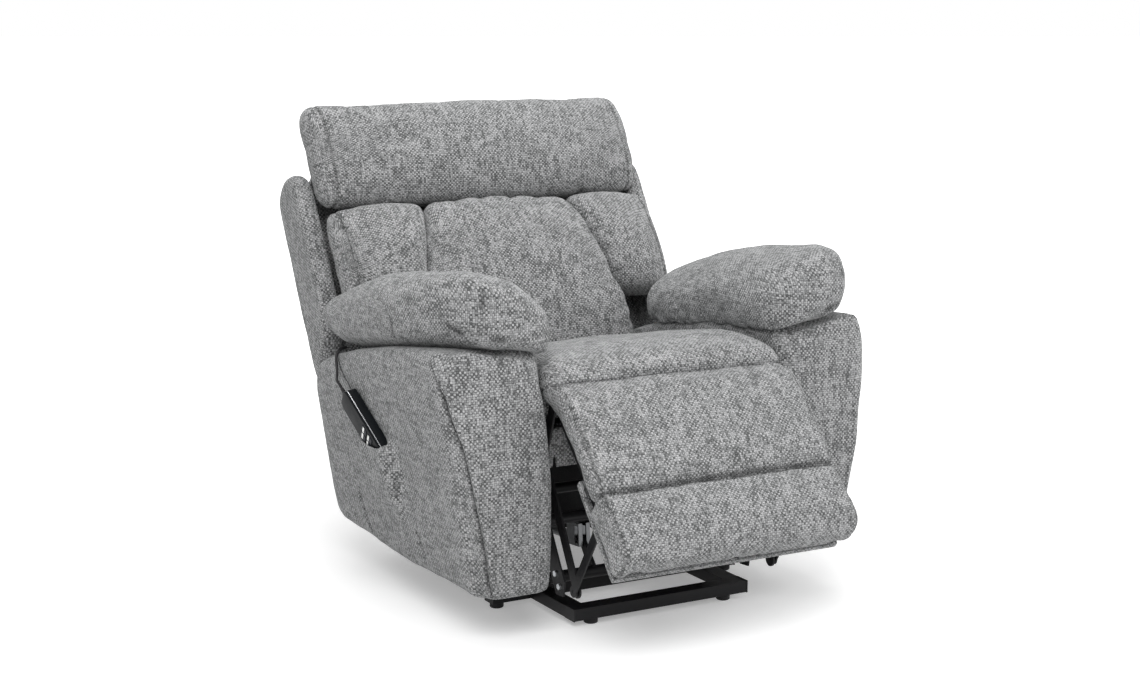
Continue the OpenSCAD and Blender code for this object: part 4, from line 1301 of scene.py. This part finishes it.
def tube_along(name, path, radius, sides):
    """A closed round tube along a path."""
    path = np.array(path)
    ahead = np.gradient(path, axis=0)
    ahead /= np.linalg.norm(ahead, axis=1)[:, None]
    side = np.cross(ahead, (1, 0, 0.2))
    side /= np.linalg.norm(side, axis=1)[:, None]
    up = np.cross(ahead, side)
    turns = np.linspace(0, FULL_TURN, sides, endpoint=False)
    rings = [[p + radius * (math.cos(a) * s + math.sin(a) * u) for a in turns] for p, s, u in zip(path, side, up)]
    return smooth_shaded(loft(name, rings))


class RECLINER_OT_cords(bpy.types.Operator):
    """Make the handset's cable and its thin lanyard"""

    bl_idname = "recliner.cords"
    bl_label = "Cords"

    def execute(self, context):
        for node, name, route, width, sides in (("handset_cord", "handset_cable", CORD_ROUTE, 0.006, 16),
                                                ("handset_tether", "handset_lanyard", TETHER_ROUTE, 0.002, 10)):
            path = [at(*p) for p in smooth_route(route, 6)]
            cord = tube_along(name, path, width / 2, sides)
            finish_piece(cord, None, "cable_sheath", [node])
            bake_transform(cord)
        return {"FINISHED"}


# ---- studio ----


VIEW_TARGET = (0, 400, 496)
# Each lamp's name, place, size, and its share of one of the powers in the settings
LAMPS = (
    ("key_lamp", (-1.6, -2.6, 2.9), 2.4, "key", 1.0),
    ("fill_lamp", (2.8, -1.6, 1.9), 2.2, "fill", 1.0),
    ("top_lamp", (0.2, 0.6, 3.4), 2.6, "key", 0.55),
)
LAMP_TARGET = Vector((0, 0, 0.5))
FLOOR_RADIUS = 60


class RECLINER_OT_stage(bpy.types.Operator):
    """Set the camera, the floor, the lamps and the even light"""

    bl_idname = "recliner.stage"
    bl_label = "Studio"

    def execute(self, context):
        studio = settings("studio")
        scene = context.scene
        scene.view_settings.view_transform = "Standard"
        self.camera(scene, studio)
        self.floor()
        self.world(scene, studio)
        for name, place, size, light, share in LAMPS:
            self.lamp(name, place, size, getattr(studio, light) * share)
        return {"FINISHED"}

    def camera(self, scene, studio):
        turn, lift = math.radians(studio.azimuth), math.radians(studio.elevation)
        back = Vector((math.sin(turn) * math.cos(lift), -math.cos(turn) * math.cos(lift), math.sin(lift)))
        data = bpy.data.cameras.new("studio_camera")
        data.sensor_width, data.lens, data.clip_end = 36, studio.lens, 50
        camera = bpy.data.objects.new("studio_camera", data)
        camera.location = at(*VIEW_TARGET) + back * studio.distance
        camera.rotation_euler = back.to_track_quat("Z", "Y").to_euler()
        scene.collection.objects.link(camera)
        scene.camera = camera

    def floor(self):
        bpy.ops.object.select_all(action="DESELECT")
        bpy.ops.mesh.primitive_circle_add(vertices=96, radius=FLOOR_RADIUS, fill_type="NGON", location=(0, 0, 0))
        floor = bpy.context.object
        floor.name = "studio_floor"
        w, shader = new_material("studio_floor")
        w.feed_all(shader, {"Roughness": 0.9, "Base Color": (0.86, 0.86, 0.86, 1)})
        seen = w.seen_directly()
        place = w.here()
        away = w.node("ShaderNodeVectorMath", {0: place}, operation="LENGTH").outputs["Value"]
        far = w.node("ShaderNodeMapRange", {"Value": away, "From Min": 1.0, "From Max": 3.0, "To Min": 0.3,
                                            "To Max": 1.0}).outputs[0]
        glow = w.node("ShaderNodeEmission", {"Color": (1, 1, 1, 1), "Strength": w.times(seen, far)})
        both = w.node("ShaderNodeAddShader", {0: shader.outputs[0], 1: glow.outputs[0]})
        w.feed(w.tree.nodes["Material Output"].inputs["Surface"], both.outputs[0])
        floor.data.materials.append(bpy.data.materials["studio_floor"])

    def world(self, scene, studio):
        world = bpy.data.worlds.new("studio")
        scene.world = world
        world.use_nodes = True
        w = Wiring(world.node_tree)
        seen = w.seen_directly()
        strength = w.mix(seen, studio.sky, 1.0)
        w.feed_all(world.node_tree.nodes["Background"], {"Color": (1, 1, 1, 1), "Strength": strength})

    def lamp(self, name, place, size, power):
        data = bpy.data.lights.new(name, "AREA")
        data.shape, data.size, data.energy = "DISK", size, power
        lamp = bpy.data.objects.new(name, data)
        lamp.location = place
        lamp.rotation_euler = (Vector(place) - LAMP_TARGET).to_track_quat("Z", "Y").to_euler()
        bpy.context.scene.collection.objects.link(lamp)


# ---- panel and registration ----

STEPS = (
    RECLINER_OT_stage,
    RECLINER_OT_materials,
    RECLINER_OT_cords,
    RECLINER_OT_frame_finishes,
    RECLINER_OT_seat,
    RECLINER_OT_back,
    RECLINER_OT_back_shell,
    RECLINER_OT_arms,
    RECLINER_OT_pillows,
    RECLINER_OT_footrest,
    RECLINER_OT_handset,
)


class RECLINER_PT_sidebar(bpy.types.Panel):
    """Lists the settings and the steps of the chair"""

    bl_idname = "RECLINER_PT_sidebar"
    bl_label = "Lift recliner chair"
    bl_space_type = "VIEW_3D"
    bl_region_type = "UI"
    bl_category = "Recliner"

    def draw(self, context):
        for name, group in SETTINGS:
            box = self.layout.box()
            box.label(text=name.title())
            for key in group.__annotations__:
                box.prop(settings(name), key)
        for step in STEPS:
            self.layout.operator(step.bl_idname)


CLASSES = tuple(group for _, group in SETTINGS) + STEPS + (RECLINER_PT_sidebar,)


def register():
    for cls in CLASSES:
        bpy.utils.register_class(cls)
    for name, group in SETTINGS:
        setattr(bpy.types.Scene, "recliner_" + name, PointerProperty(type=group))


def unregister():
    for name, _ in SETTINGS:
        delattr(bpy.types.Scene, "recliner_" + name)
    for cls in reversed(CLASSES):
        bpy.utils.unregister_class(cls)


def main():
    register()
    for step in STEPS:
        category, name = step.bl_idname.split(".")
        getattr(getattr(bpy.ops, category), name)()


if __name__ == "__main__":
    main()
